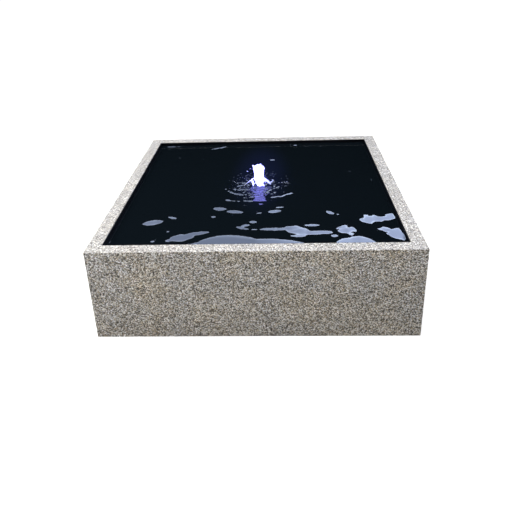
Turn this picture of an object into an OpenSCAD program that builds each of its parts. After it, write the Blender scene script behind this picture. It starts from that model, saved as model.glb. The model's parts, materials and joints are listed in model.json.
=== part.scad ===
// Square water table fountain: a low cast basin filled almost to its rim, with a lit jet in the middle.
// The front is -Y, the cable leaves at the back, and the origin is the middle of the footprint on the ground.

/* [Basin] */
// Width and depth of the square basin
basin_w = 1000; // [800:10:1400]
// Height of the basin from the ground to its rim
basin_h = 305; // [300:5:450]
// Thickness of the walls, which shows as the rim
wall_t = 43; // [35:1:60]
// Thickness of the floor slab
floor_t = 40; // [30:1:46]
// Depth of the hollow under the floor slab
recess_h = 40; // [36:1:46]
// Width of the bearing foot round that hollow
foot_w = 60; // [45:1:70]
// Chamfer that breaks the cast edges
arris = 2; // [1:0.5:4]
// Width of the cable slot under the back wall
slot_w = 60; // [40:1:80]
// Height of the cable slot
slot_h = 30; // [26:1:34]
// Thickness of the black waterproof lining
lining_t = 3; // [2:0.5:5]
// How far the lining stops below the rim
lining_drop = 2; // [1:0.5:6]

/* [Water] */
// Distance from the rim down to the water
freeboard = 15; // [8:1:25]
// Radius of the rings that spread from the jet
ripple_r = 200; // [120:5:240]
// Height of the rings beside the jet
ripple_a = 1.2; // [0.4:0.2:3]
// Distance from one ring to the next
ripple_pitch = 34; // [20:1:50]
// Height of the jet above the water
jet_h = 88; // [60:1:160]
// Radius of the jet
jet_r = 20; // [14:1:26]
// Radius of the churned foot of the jet
jet_foot_r = 55; // [50:1:70]
// Height of the mound at the foot of the jet
jet_mound = 9; // [4:1:14]

/* [Drain] */
// Distance of the drain from the two nearest lined walls
drain_inset = 124; // [60:1:180]
// Outer radius of the threaded drain tail
drain_r = 20; // [16:0.5:26]
// Wall of the drain tail
drain_wall = 5; // [3:0.5:6]
// Depth of the drain's thread, by which the spigot below it is slimmer
drain_thread = 1; // [0.5:0.5:2]
// Radius of the drain flange
drain_flange_r = 34; // [30:1:42]
// Thickness of the drain flange
drain_flange_t = 5; // [3:0.5:8]
// Thickness of the drain gasket and washer
gasket_t = 2; // [1:0.5:4]
// Thickness of the nut under the slab
drain_nut_t = 9; // [6:1:12]
// Length of the plain spigot below the nut
drain_tail = 8; // [5:1:10]
// How deep the rubber bung sits in the drain
bung_depth = 22; // [14:1:34]
// Height of the tab that the bung is pulled by
bung_tab_h = 16; // [10:1:24]

/* [Lead gland and supply coupler] */
// Distance of the gland from the lined back wall
gland_inset = 74; // [66:1:90]
// Outer radius of the gland thread
gland_r = 12; // [11.5:0.5:15]
// Radius of the hole through the gland
gland_bore_r = 9; // [8.5:0.1:10]
// Corner radius of the gland's hexagons
gland_hex_r = 17; // [16:0.5:20]
// Height of the gland's collar
gland_collar_h = 6; // [4:1:10]
// Height of the gland's rubber insert
insert_h = 12; // [8:1:18]
// Thickness of the gland's locknut
locknut_t = 6; // [4:1:8]
// Radius of the supply coupler
coupler_r = 11; // [9.5:0.5:13]
// Length of the supply coupler
coupler_len = 36; // [32:1:40]
// Radius of the coupler's socket
socket_r = 5; // [4:0.1:6]
// Depth of the coupler's socket
socket_depth = 14; // [10:1:20]
// Length of the saddle that holds the coupler
saddle_len = 16; // [10:1:22]
// Thickness of the saddle's cheeks and feet
saddle_t = 4; // [3:0.5:6]

/* [Leads] */
// Diameter of the pump and light leads
lead_d = 5; // [4:0.5:6]
// Distance between the two leads
lead_pitch = 10; // [9:0.5:11]
// Number of floor clips
clip_count = 3; // [1:1:5]
// Length of a floor clip
clip_len = 12; // [8:1:20]

/* [Pump] */
// Width of the pump
pump_w = 90; // [88:1:110]
// Height of the suction feet
foot_h = 10; // [7:1:14]
// Radius of a suction foot
foot_r = 13; // [10:1:16]
// Height of the rotor axis above the pump's base
axis_h = 60; // [59:1:66]
// Height of the pump above the rotor axis
axis_top = 40; // [39:1:46]
// Length of the motor housing
motor_len = 84; // [82:1:110]
// Wall of the motor housing
housing_t = 3; // [2:0.5:4]
// Thickness of the housing's front wall
face_t = 10; // [8:1:12]
// Radius of the rotor well
well_r = 15; // [14.5:0.5:16]
// Wall of the rotor well
well_t = 2.5; // [2:0.5:3.5]
// Length of the rotor well
well_len = 68; // [64:1:72]
// Radius of the rotor magnet
magnet_r = 13.5; // [11:0.5:14]
// Length of the rotor magnet
magnet_len = 44; // [30:1:46]
// Radius of the ceramic shaft
shaft_r = 2; // [1.5:0.5:3]
// Length of the laminated core along the shaft
core_len = 28; // [20:1:32]
// Width of the laminated core
core_w = 60; // [58:1:62]
// Width of each leg of the core
leg_w = 14; // [10:1:16]
// Height of each leg of the core
leg_h = 19; // [14:1:19]
// Height of the yoke below the legs
yoke_h = 14; // [10:1:14]
// Thickness of the winding round each leg
winding_t = 9; // [6:1:10]

/* [Pump chamber] */
// Length of the pump chamber along the shaft
chamber_len = 32; // [31:1:40]
// Radius inside the pump chamber
chamber_r = 30; // [28:0.5:31]
// Wall of the pump chamber
chamber_t = 3; // [2:0.5:4]
// Half width of the square flange on the chamber
flange_half = 36; // [35.5:0.5:38]
// Thickness of that flange
flange_t = 4; // [3:0.5:6]
// Radius of the impeller
impeller_r = 25; // [20:0.5:27]
// Number of impeller vanes
vane_count = 6; // [4:1:8]
// Radius of the intake eye
eye_r = 12; // [11:0.5:14]
// Bore radius of the pump outlet
outlet_r = 10; // [8:0.5:11]
// Wall of the outlet and of the riser tube
pipe_t = 3; // [2:0.5:4]
// Height of the outlet above the pump
outlet_rise = 17; // [16:1:22]
// Wall of the intake cover
cover_t = 2.5; // [2:0.5:3.5]
// Length of the intake cover
cover_len = 66; // [60:1:80]
// Width of an intake slot
intake_slot = 4; // [3:0.5:4.5]
// Distance from one intake slot to the next
intake_pitch = 8; // [7:0.5:10]
// Radius of the flow dial
dial_r = 18; // [17:0.5:22]
// Thickness of the flow dial
dial_t = 4; // [3:0.5:6]

/* [Riser and nozzle] */
// Length of the riser tube's socket
socket_len = 14; // [8:1:15]
// Outer radius of the sliding extension
extension_r = 10; // [8:0.5:11]
// Wall of the sliding extension
extension_t = 2; // [1.5:0.5:3]
// Distance from the lowered extension's end to the stop inside the riser tube
extension_stop = 2; // [0.5:0.5:8]
// Height of the rubber grip ring
grip_h = 4; // [3:0.5:6]
// Outer radius of the locking nut
nut_r = 18; // [17:0.5:22]
// Height of the locking nut
nut_h = 12; // [10:1:20]
// Thickness of the locking nut's top
nut_cap = 4; // [3:0.5:6]
// How far the nozzle ends below the water
nozzle_depth = 2; // [1:0.5:5]
// Height of the nozzle
nozzle_h = 32; // [32:1:36]
// Radius of the nozzle where the light sits on it
nozzle_r = 17; // [15:0.5:18]
// Radius of the nozzle's tip
tip_r = 9; // [8:0.5:12]
// Radius of the hole that the jet leaves by
orifice_r = 5.5; // [4:0.5:7]
// Radius of the nozzle's flange
nozzle_flange_r = 24; // [21:1:28]
// Thickness of the nozzle's flange
nozzle_flange_t = 3; // [2:0.5:4]

/* [Light] */
// Outer radius of the light ring
light_r = 46; // [44:0.5:50]
// Height of the light ring's body
light_h = 13; // [11:0.5:14]
// Wall of the light ring's body
light_t = 3; // [2:0.5:4]
// Thickness of the light's gasket
light_gasket_t = 1.5; // [1:0.5:2]
// Thickness of the clear lens
lens_t = 3.5; // [2:0.5:4]
// Thickness of the steel bezel
bezel_t = 1.5; // [1:0.5:2]
// Number of emitters, and of screws
light_count = 6; // [3:1:8]
// Thickness of the light's locknut
light_nut_t = 4; // [3:0.5:5]
// Thickness of the circuit board
board_t = 1.6; // [1:0.2:2]

/* [Hidden] */
$fn = 64;

// Clearances: of a thread or shaft, and between faces that move past each other
fit = 0.05;
gap = 0.3;
over = 1;
small_r = 2;

// Heights of the basin
slab_top = recess_h + floor_t;
floor_z = slab_top + lining_t;
water_z = basin_h - freeboard;
inner_w = basin_w - 2 * wall_t;
lined_w = inner_w - 2 * lining_t;

// Drain, seen from the middle of the basin
drain_at = [-lined_w / 2 + drain_inset, lined_w / 2 - drain_inset];
drain_top = floor_z + gasket_t + drain_flange_t;
drain_low = recess_h - gasket_t - drain_nut_t - drain_tail;
drain_bore_r = drain_r - drain_wall;

// Gland and coupler
gland_y = lined_w / 2 - gland_inset;
gland_low = recess_h - locknut_t - 4;
gland_neck = floor_z + gasket_t + gland_collar_h;
gland_top = gland_neck + insert_h;
cap_t = 4;
coupler_z = slot_h / 2;
coupler_end = basin_w / 2 - foot_w - 2;
coupler_start = coupler_end - coupler_len;
saddle_y = (coupler_start + coupler_end) / 2;
saddle_screw_x = coupler_r + saddle_t + 5;
screw_depth = 18;

// Pump, with its outlet over the origin and its shaft along Y
pump_z = floor_z + foot_h;
axis_z = pump_z + axis_h;
pump_top = axis_z + axis_top;
face_y = chamber_len / 2;
motor_end = face_y + motor_len;
well_end = face_y + well_len;
core_y = face_y + well_len / 2 - core_len / 2;
core_head = 22;
core_crown = 28;
leg_top = axis_z - core_head;
yoke_top = leg_top - leg_h;
leg_x = core_w / 2 - leg_w / 2;
magnet_y = well_end - 8 - magnet_len;
bush_len = 4;
chamber_front = -chamber_len / 2;
flange_screw = 30;
groove_r = chamber_r + 1.5;
groove_w = 2.6;
groove_d = 1.9;
boot_z = pump_z + 16;
boot_r = 7;
boot_in = 6;
boot_out = 14;
guide_y = motor_end + 12;
guide_h = 8;
guide_w = 12;
guide_over = 8;
foot_stud_r = 3;
foot_stud_h = 2;
foot_places = [
    for (x = [-1, 1], y = [face_y + foot_r + 2, motor_end - foot_r - 2]) [x * (pump_w / 2 - foot_r), y]
];
cover_y = face_y - gap;
cover_front = cover_y - cover_len;
dial_hub_r = 4;
dial_hole_r = 3.5;
dial_hole_at = 11;
outlet_top = pump_top + outlet_rise;

// Nozzle and riser, measured down from the water
nozzle_top = water_z - nozzle_depth;
nozzle_z = nozzle_top - nozzle_h;
nut_top = nozzle_z - gap;
ceiling_z = nut_top - nut_cap;
tube_top = ceiling_z - gap - grip_h;
tube_r = extension_r + fit + pipe_t;
socket_in_r = outlet_r + pipe_t + fit;
riser_web = 3;
extension_z = outlet_top + riser_web + extension_stop;
nozzle_grip = 12;

// Light ring, stacked on the nozzle's flange
light_z = nozzle_z + nozzle_flange_t;
gasket_z = light_z + light_h;
lens_z = gasket_z + light_gasket_t;
bezel_z = lens_z + lens_t;
light_in_r = nozzle_r + fit;
boss_r = 3.5;
boss_at = light_r - light_t - boss_r + 0.5;
emitter_at = (light_in_r + light_t + boss_at - boss_r) / 2;
emitter_w = 5;
emitter_t = 1.6;
light_lead_z = light_z + light_h / 2;
light_boss_r = 5.5;
light_boss_end = light_r + 12;

// Leads: heights and corners of each route, as pairs of Y and Z
lead_r = lead_d / 2;
lead_x = lead_pitch / 2;
lead_z = floor_z + lead_r + 1;
arch_z = gland_top + cap_t + 52;
arch_len = 76;
run_start = motor_end + 66;
gland_route = [
    [run_start, lead_z], [gland_y - 84, lead_z], [gland_y - 60, lead_z],
    [gland_y - 42, arch_z - 34], [gland_y - 30, arch_z],
    [gland_y, arch_z], [gland_y, gland_top - 10], [gland_y, recess_h],
    [gland_y, coupler_z], [coupler_start + 9, coupler_z]
];
pump_route = concat(
    [[motor_end - boot_in + 2, boot_z], [motor_end + boot_out + 14, boot_z],
     [motor_end + 40, lead_z]],
    gland_route
);
light_route = concat(
    [[light_r - 2, light_lead_z], [light_boss_end + 12, light_lead_z],
     [guide_y, light_lead_z - 6], [guide_y, pump_top - guide_h / 2],
     [guide_y, boot_z + 20], [guide_y + 6, lead_z]],
    gland_route
);
clips_from = run_start - 4;
clips_to = gland_y - arch_len;

function cut_corners(p) = [
    p[0],
    for (i = [0:len(p) - 2]) each [p[i] * 0.75 + p[i + 1] * 0.25, p[i] * 0.25 + p[i + 1] * 0.75],
    p[len(p) - 1]
];
function smooth(p, n) = n == 0 ? p : smooth(cut_corners(p), n - 1);
function ripple(r) = water_z
    + ripple_a * exp(-(r - jet_foot_r) / 40) * cos(360 * (r - jet_foot_r) / ripple_pitch);

module along_y(x, y, z) {
    translate([x, y, z]) rotate([-90, 0, 0]) children();
}

module ring(r_out, r_in, h) {
    difference() {
        cylinder(r = r_out, h = h);
        translate([0, 0, -over]) cylinder(r = r_in, h = h + 2 * over);
    }
}

// A block standing on z = 0 with its four upright edges rounded
module round_block(w, d, h, r) {
    linear_extrude(h) {
        square([w - 2 * r, d], center = true);
        square([w, d - 2 * r], center = true);
        for (x = [-1, 1], y = [-1, 1]) translate([x * (w / 2 - r), y * (d / 2 - r)]) circle(r);
    }
}

module chamfered(a, b, c) {
    polygon([
        [-a + c, -b], [a - c, -b], [a, -b + c], [a, b - c],
        [a - c, b], [-a + c, b], [-a, b - c], [-a, -b + c]
    ]);
}

// The cast block with every outer edge broken
module cast_block(w, h, c) {
    intersection() {
        linear_extrude(h) chamfered(w / 2, w / 2, c);
        translate([0, 0, h / 2]) rotate([90, 0, 0])
            linear_extrude(w, center = true) chamfered(w / 2, h / 2, c);
        translate([0, 0, h / 2]) rotate([90, 0, 90])
            linear_extrude(w, center = true) chamfered(w / 2, h / 2, c);
    }
}

module square_block(w, z_low, z_high) {
    translate([-w / 2, -w / 2, z_low]) cube([w, w, z_high - z_low]);
}

// What breaks the rim's inner edge: two wedges crossed, so that all four sides slope alike
module rim_wedge() {
    wide = inner_w + 2 * arris;
    linear_extrude(wide, center = true)
        polygon([[-inner_w / 2, 0], [inner_w / 2, 0], [wide / 2, arris], [-wide / 2, arris]]);
}

module rim_cut() {
    intersection() {
        rotate([90, 0, 0]) rim_wedge();
        rotate([90, 0, 90]) rim_wedge();
    }
}

module at_drain(z) {
    translate([drain_at[0], drain_at[1], z]) children();
}

module at_gland(z) {
    translate([0, gland_y, z]) children();
}

module basin_shell() {
    color("#9a9186") difference() {
        cast_block(basin_w, basin_h, arris);
        square_block(inner_w, slab_top, basin_h + over);
        translate([0, 0, basin_h - arris]) rim_cut();
        square_block(basin_w - 2 * foot_w, -over, recess_h);
        translate([-slot_w / 2, basin_w / 2 - foot_w - over, -over])
            cube([slot_w, foot_w + 2 * over, slot_h + over]);
        at_drain(recess_h - over) cylinder(r = drain_r + gap, h = floor_t + 2 * over);
        at_gland(recess_h - over) cylinder(r = gland_r + gap, h = floor_t + 2 * over);
        for (x = [-1, 1]) translate([x * saddle_screw_x, saddle_y, recess_h - over])
            cylinder(r = small_r + fit, h = screw_depth + 2 * over);
    }
}

module basin_lining() {
    color("#0b0d10") difference() {
        square_block(inner_w, slab_top, basin_h - lining_drop);
        square_block(lined_w, floor_z, basin_h + over);
        at_drain(slab_top - over) cylinder(r = drain_r + gap, h = lining_t + 2 * over);
        at_gland(slab_top - over) cylinder(r = gland_r + gap, h = lining_t + 2 * over);
    }
}

module drain_body() {
    color("#2b2d30") at_drain(drain_low) difference() {
        union() {
            cylinder(r = drain_r - drain_thread, h = drain_tail + over);
            translate([0, 0, drain_tail]) cylinder(r = drain_r, h = drain_top - drain_low - drain_tail);
            translate([0, 0, drain_top - drain_flange_t - drain_low])
                cylinder(r = drain_flange_r, h = drain_flange_t);
        }
        translate([0, 0, -over]) cylinder(r = drain_bore_r, h = drain_top - drain_low + 2 * over);
    }
}

module drain_gasket() {
    color("#1a1a1a") at_drain(floor_z) ring(drain_flange_r, drain_r + fit, gasket_t);
}

module drain_washer() {
    color("#1a1a1a") at_drain(recess_h - gasket_t) ring(drain_flange_r - 2, drain_r + fit, gasket_t);
}

module drain_back_nut() {
    color("#2b2d30") at_drain(recess_h - gasket_t - drain_nut_t) difference() {
        cylinder(r = drain_flange_r, h = drain_nut_t, $fn = 6);
        translate([0, 0, -over]) cylinder(r = drain_r + fit, h = drain_nut_t + 2 * over);
    }
}

module drain_bung() {
    head_t = 5;
    tab_t = 6;
    color("#202124") at_drain(drain_top) {
        translate([0, 0, gap - bung_depth]) cylinder(r = drain_bore_r - fit, h = bung_depth);
        translate([0, 0, gap]) cylinder(r = drain_bore_r + 4, h = head_t);
        translate([0, 0, gap + head_t - over]) rotate([90, 0, 0]) difference() {
            linear_extrude(tab_t, center = true) {
                translate([0, bung_tab_h / 2]) square([drain_bore_r, bung_tab_h], center = true);
                translate([0, bung_tab_h]) circle(drain_bore_r / 2);
            }
            translate([0, bung_tab_h, 0]) cylinder(r = drain_bore_r / 4, h = tab_t * 2, center = true);
        }
    }
}

module gland_body() {
    color("#26282b") at_gland(gland_low) difference() {
        union() {
            cylinder(r = gland_r, h = gland_top - gland_low);
            translate([0, 0, gland_neck - gland_collar_h - gland_low])
                cylinder(r = gland_hex_r, h = gland_collar_h, $fn = 6);
        }
        translate([0, 0, -over]) cylinder(r = gland_bore_r, h = gland_top - gland_low + 2 * over);
    }
}

module gland_washer() {
    color("#1a1a1a") at_gland(floor_z) ring(gland_hex_r, gland_r + fit, gasket_t);
}

module gland_locknut() {
    color("#26282b") at_gland(recess_h - locknut_t) difference() {
        cylinder(r = gland_hex_r + 2, h = locknut_t, $fn = 6);
        translate([0, 0, -over]) cylinder(r = gland_r + fit, h = locknut_t + 2 * over);
    }
}

module gland_insert() {
    color("#151515") at_gland(gland_neck) difference() {
        cylinder(r = gland_bore_r - fit, h = insert_h);
        for (x = [-1, 1]) translate([x * lead_x, 0, -over])
            cylinder(r = lead_r + fit, h = insert_h + 2 * over);
    }
}

module gland_cap() {
    cap_z = gland_neck + over;
    color("#26282b") at_gland(cap_z) difference() {
        cylinder(r = gland_hex_r, h = gland_top + cap_t - cap_z, $fn = 6);
        translate([0, 0, -over]) cylinder(r = gland_r + fit, h = gland_top - cap_z + over);
        cylinder(r = lead_x + lead_r + fit, h = insert_h + cap_t + over);
    }
}

module coupler_body() {
    rib_len = 3;
    color("#1d1f22") difference() {
        union() {
            along_y(0, coupler_start, coupler_z) cylinder(r = coupler_r, h = coupler_len);
            for (y = [coupler_start + over, coupler_end - over - rib_len]) along_y(0, y, coupler_z)
                cylinder(r = coupler_r + 1, h = rib_len);
        }
        along_y(0, coupler_end - socket_depth, coupler_z)
            cylinder(r = socket_r, h = socket_depth + over);
        for (x = [-1, 1]) along_y(x * lead_x, coupler_start - over, coupler_z)
            cylinder(r = lead_r + fit, h = 11);
    }
}

module coupler_saddle() {
    half = coupler_r + saddle_t;
    foot = saddle_screw_x + 5;
    low = coupler_z - coupler_r / 2;
    color("#3a3d40") translate([0, saddle_y, 0]) difference() {
        union() {
            translate([-half, -saddle_len / 2, low]) cube([2 * half, saddle_len, recess_h - low]);
            translate([-foot, -saddle_len / 2, recess_h - saddle_t])
                cube([2 * foot, saddle_len, saddle_t]);
        }
        along_y(0, -saddle_len, coupler_z) cylinder(r = coupler_r + fit, h = 2 * saddle_len);
        translate([-coupler_r - fit, -saddle_len, low - over])
            cube([2 * (coupler_r + fit), 2 * saddle_len, coupler_z - low + over]);
        for (x = [-1, 1]) translate([x * saddle_screw_x, 0, recess_h - saddle_t - over])
            cylinder(r = small_r + fit, h = saddle_t + 2 * over);
    }
}

module saddle_screws() {
    head_t = 2.4;
    color("#b4b7ba") for (x = [-1, 1]) translate([x * saddle_screw_x, saddle_y, 0]) {
        translate([0, 0, recess_h - saddle_t - head_t]) cylinder(r = 2 * small_r, h = head_t);
        translate([0, 0, recess_h - saddle_t]) cylinder(r = small_r, h = saddle_t + screw_depth);
    }
}

// A round lead in the plane at x, swept along a route of Y and Z pairs
module lead(x, route) {
    sides = 10;
    path = smooth(route, 3);
    last = len(path) - 1;
    points = [
        for (i = [0:last]) let (
            t = path[min(i + 1, last)] - path[max(i - 1, 0)],
            u = t / norm(t)
        ) for (k = [0:sides - 1]) let (a = 360 * k / sides)
            [x + lead_r * cos(a), path[i][0] - lead_r * sin(a) * u[1], path[i][1] + lead_r * sin(a) * u[0]]
    ];
    walls = [
        for (i = [0:last - 1]) for (k = [0:sides - 1]) let (
            a = i * sides + k,
            b = i * sides + (k + 1) % sides
        ) each [[a, b, b + sides], [a, b + sides, a + sides]]
    ];
    near = [for (k = [1:sides - 2]) [0, k + 1, k]];
    far = [for (k = [1:sides - 2]) [last * sides, last * sides + k, last * sides + k + 1]];
    polyhedron(points = points, faces = concat(walls, near, far), convexity = 6);
}

module pump_lead() {
    color("#16171a") lead(-lead_x, pump_route);
}

module light_lead() {
    color("#16171a") lead(lead_x, light_route);
}

module lead_clips() {
    half = lead_x + lead_r + 4;
    height = lead_z + lead_r + 2 - floor_z;
    color("#3a3d40") for (i = [0:clip_count - 1])
        translate([0, clips_from + (clips_to - clips_from) * (i + 0.5) / clip_count, floor_z]) difference() {
            translate([-half, -clip_len / 2, 0]) cube([2 * half, clip_len, height]);
            for (x = [-1, 1]) along_y(x * lead_x, -clip_len, lead_z - floor_z)
                cylinder(r = lead_r + fit, h = 2 * clip_len);
        }
}

module pump_lead_boot() {
    color("#16171a") along_y(-lead_x, motor_end - boot_in, boot_z) difference() {
        union() {
            cylinder(r = boot_r, h = boot_in + 2);
            translate([0, 0, boot_in + 2]) cylinder(r1 = boot_r - over, r2 = lead_r + 1.5, h = boot_out - 2);
        }
        translate([0, 0, -over]) cylinder(r = lead_r + fit, h = boot_in + boot_out + 2 * over);
    }
}

// The motor housing's hollow, which the resin fills up to the back
module motor_cavity() {
    inside = pump_w - 2 * housing_t;
    translate([-inside / 2, face_y + face_t, pump_z + housing_t])
        cube([inside, motor_len - face_t + over, pump_top - pump_z - 2 * housing_t]);
}

module flange_screw_holes(y, length, r) {
    for (x = [-1, 1], z = [-1, 1]) along_y(x * flange_screw, y, axis_z + z * flange_screw)
        cylinder(r = r, h = length);
}

module motor_housing() {
    corner = 6;
    color("#1f2226") difference() {
        union() {
            difference() {
                translate([0, face_y + motor_len / 2, pump_z])
                    round_block(pump_w, motor_len, pump_top - pump_z, corner);
                motor_cavity();
            }
            along_y(0, face_y, axis_z) cylinder(r = well_r + well_t, h = well_len + well_t);
            translate([lead_x - guide_w / 2, motor_end - 2, pump_top - guide_h])
                cube([guide_w, guide_y - motor_end + 2 + guide_over, guide_h]);
        }
        along_y(0, face_y - over, axis_z) cylinder(r = well_r, h = well_len + over);
        along_y(0, face_y - over, axis_z) ring(groove_r + groove_w, groove_r, groove_d + over);
        flange_screw_holes(face_y - over, face_t, small_r + fit);
        translate([lead_x, guide_y, pump_top - guide_h - over])
            cylinder(r = lead_r + gap, h = guide_h + 2 * over);
        for (p = foot_places) translate([p[0], p[1], pump_z - over])
            cylinder(r = foot_stud_r + fit, h = foot_stud_h + over);
    }
}

module suction_feet() {
    color("#2a2c2f") for (p = foot_places) translate([p[0], p[1], floor_z]) rotate_extrude()
        polygon([
            [0, 3], [foot_r * 0.6, 2], [foot_r - 1, 0], [foot_r, 0], [foot_r, 1],
            [foot_r * 0.65, 4], [5, foot_h - 2], [6, foot_h], [foot_stud_r, foot_h],
            [foot_stud_r, foot_h + foot_stud_h], [0, foot_h + foot_stud_h]
        ]);
}

module stator_core() {
    color("#7d8084") translate([0, core_y, 0]) difference() {
        translate([-core_w / 2, 0, yoke_top - yoke_h])
            cube([core_w, core_len, axis_z + core_crown - yoke_top + yoke_h]);
        translate([-core_w / 2 + leg_w, -over, yoke_top])
            cube([core_w - 2 * leg_w, core_len + 2 * over, leg_h]);
        along_y(0, -over, axis_z) cylinder(r = well_r + well_t + gap, h = core_len + 2 * over);
    }
}

module winding(side) {
    color("#b06a34") translate([side * leg_x, core_y + core_len / 2, yoke_top + gap]) difference() {
        round_block(leg_w + 2 * winding_t, core_len + 2 * winding_t, leg_h - 2 * gap, winding_t - 1);
        translate([-leg_w / 2 - gap, -core_len / 2 - gap, -over])
            cube([leg_w + 2 * gap, core_len + 2 * gap, leg_h + 2 * over]);
    }
}

module left_winding() {
    winding(-1);
}

module right_winding() {
    winding(1);
}

// The space that one winding and its leg take up in the resin
module winding_space(side) {
    translate([side * leg_x, core_y + core_len / 2, yoke_top])
        round_block(leg_w + 2 * winding_t + gap, core_len + 2 * winding_t + gap, leg_h, winding_t - 1);
}

module potting_resin() {
    skin = 2;
    color("#17181b") difference() {
        motor_cavity();
        translate([-pump_w, motor_end - skin, 0]) cube([2 * pump_w, motor_len, pump_top]);
        along_y(0, face_y, axis_z) cylinder(r = well_r + well_t + fit, h = well_len + well_t + fit);
        translate([-core_w / 2, core_y, yoke_top - yoke_h])
            cube([core_w, core_len, axis_z + core_crown - yoke_top + yoke_h]);
        for (side = [-1, 1]) winding_space(side);
        along_y(-lead_x, motor_end - boot_in - over, boot_z) cylinder(r = boot_r + fit, h = boot_in + 2);
    }
}

module rotor_shaft() {
    color("#e6e2d8") along_y(0, chamber_front + over, axis_z)
        cylinder(r = shaft_r, h = well_end - over - chamber_front - over);
}

module rear_bush() {
    color("#3c3f43") along_y(0, well_end - bush_len, axis_z)
        ring(well_r - fit, shaft_r + fit, bush_len);
}

module front_bush() {
    color("#e6e2d8") along_y(0, chamber_front, axis_z) ring(6, shaft_r + fit, 2 * chamber_t);
}

module rotor_magnet() {
    color("#4a4d50") along_y(0, magnet_y, axis_z) ring(magnet_r, shaft_r + fit, magnet_len);
}

module impeller() {
    hub_r = 6;
    vane_t = 2;
    disc_t = 2;
    front = chamber_front + 2 * chamber_t + over;
    vane_w = chamber_len - 2 * chamber_t - 4 * over - disc_t;
    color("#c9ccd0") along_y(0, front, axis_z) difference() {
        union() {
            cylinder(r = hub_r, h = magnet_y - front);
            translate([0, 0, vane_w]) cylinder(r = impeller_r, h = disc_t);
            for (i = [0:vane_count - 1]) rotate([0, 0, 360 * i / vane_count])
                translate([shaft_r + over, -vane_t / 2, 0])
                    cube([impeller_r - shaft_r - 2 * over, vane_t, vane_w + over]);
        }
        translate([0, 0, -over]) cylinder(r = shaft_r + fit, h = magnet_y - front + 2 * over);
    }
}

module chamber_body() {
    bush_seat = 6 + fit;
    spoke_w = 2.5;
    color("#24272b") {
        difference() {
            union() {
                along_y(0, chamber_front, axis_z) cylinder(r = chamber_r + chamber_t, h = chamber_len);
                translate([-flange_half, face_y - flange_t, axis_z - flange_half])
                    cube([2 * flange_half, flange_t, 2 * flange_half]);
                translate([0, 0, axis_z]) cylinder(r = outlet_r + pipe_t, h = outlet_top - axis_z);
            }
            along_y(0, chamber_front + chamber_t, axis_z)
                cylinder(r = chamber_r, h = chamber_len - chamber_t + over);
            along_y(0, chamber_front - over, axis_z) cylinder(r = eye_r, h = chamber_t + 2 * over);
            translate([0, 0, axis_z]) cylinder(r = outlet_r, h = outlet_top - axis_z + over);
            flange_screw_holes(face_y - flange_t - over, flange_t + 2 * over, small_r + fit);
        }
        along_y(0, chamber_front, axis_z) difference() {
            union() {
                cylinder(r = bush_seat + 2, h = 2 * chamber_t);
                for (i = [0:2]) rotate([0, 0, 120 * i]) translate([0, -spoke_w / 2, 0])
                    cube([eye_r + over, spoke_w, chamber_t]);
            }
            translate([0, 0, -over]) cylinder(r = bush_seat, h = 2 * chamber_t + 2 * over);
        }
    }
}

module chamber_seal() {
    color("#151515") along_y(0, face_y, axis_z)
        ring(groove_r + groove_w - gap, groove_r + gap, groove_d);
}

module chamber_screws() {
    head_t = 3;
    color("#b4b7ba") {
        flange_screw_holes(face_y - flange_t - head_t, head_t, 3.5);
        flange_screw_holes(face_y - flange_t, flange_t + face_t - 2 * over, small_r);
    }
}

// Places of the round holes that the flow dial opens and shuts
module dial_holes(y, length) {
    for (i = [0:2]) along_y(0, y, axis_z) rotate([0, 0, 120 * i])
        translate([dial_hole_at, 0, 0]) cylinder(r = dial_hole_r, h = length);
}

module intake_cover() {
    height = pump_top - pump_z;
    notch = outlet_r + pipe_t + 1;
    side_run = cover_len - 2 * intake_pitch;
    front_run = pump_w - 2 * intake_pitch;
    side_slots = floor(side_run / intake_pitch);
    front_slots = floor(front_run / intake_pitch);
    low = 12;
    tab_t = 2;
    tab_h = 16;
    tab_in = 14;
    color("#1b1e21") {
        difference() {
            translate([-pump_w / 2, cover_front, pump_z]) cube([pump_w, cover_len, height]);
            translate([-pump_w / 2 + cover_t, cover_front + cover_t, pump_z + cover_t])
                cube([pump_w - 2 * cover_t, cover_len, height - 2 * cover_t]);
            translate([-notch, -notch, pump_top - 2 * cover_t])
                cube([2 * notch, face_y + notch, 3 * cover_t]);
            for (i = [0:side_slots - 1]) translate([
                -pump_w,
                cover_front + cover_len / 2 + (i - (side_slots - 1) / 2) * intake_pitch - intake_slot / 2,
                pump_z + low
            ]) cube([2 * pump_w, intake_slot, height - 2 * low - tab_h]);
            for (i = [0:front_slots - 1]) translate([
                (i - (front_slots - 1) / 2) * intake_pitch - intake_slot / 2,
                cover_front - over,
                pump_z + low
            ]) cube([intake_slot, cover_t + 2 * over, axis_h - dial_r - low - 3]);
            along_y(0, cover_front - over, axis_z) cylinder(r = dial_hub_r + fit, h = cover_t + 2 * over);
            dial_holes(cover_front - over, cover_t + 2 * over);
        }
        for (side = [-1, 1]) translate([side * pump_w / 2, cover_y - tab_in, pump_top - low - tab_h]) {
            translate([side > 0 ? gap : -gap - tab_t, 0, 0]) cube([tab_t, 2 * tab_in, tab_h]);
            translate([-over, 0, 0]) cube([2 * over, tab_in, tab_h]);
        }
    }
}

module flow_dial() {
    notches = 12;
    color("#c8372d") {
        difference() {
            along_y(0, cover_front - gap - dial_t, axis_z) cylinder(r = dial_r, h = dial_t);
            for (i = [0:notches - 1]) along_y(0, cover_front - gap - dial_t - over, axis_z)
                rotate([0, 0, 360 * (i + 0.5) / notches]) translate([dial_r + 0.6, 0, 0])
                    cylinder(r = 2, h = dial_t + 2 * over);
            dial_holes(cover_front - gap - dial_t - over, dial_t + 2 * over);
        }
        along_y(0, cover_front - over, axis_z) cylinder(r = dial_hub_r, h = cover_t + over + gap);
        along_y(0, cover_front + cover_t + gap, axis_z) cylinder(r = dial_hub_r + 1.5, h = 2);
    }
}

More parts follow.
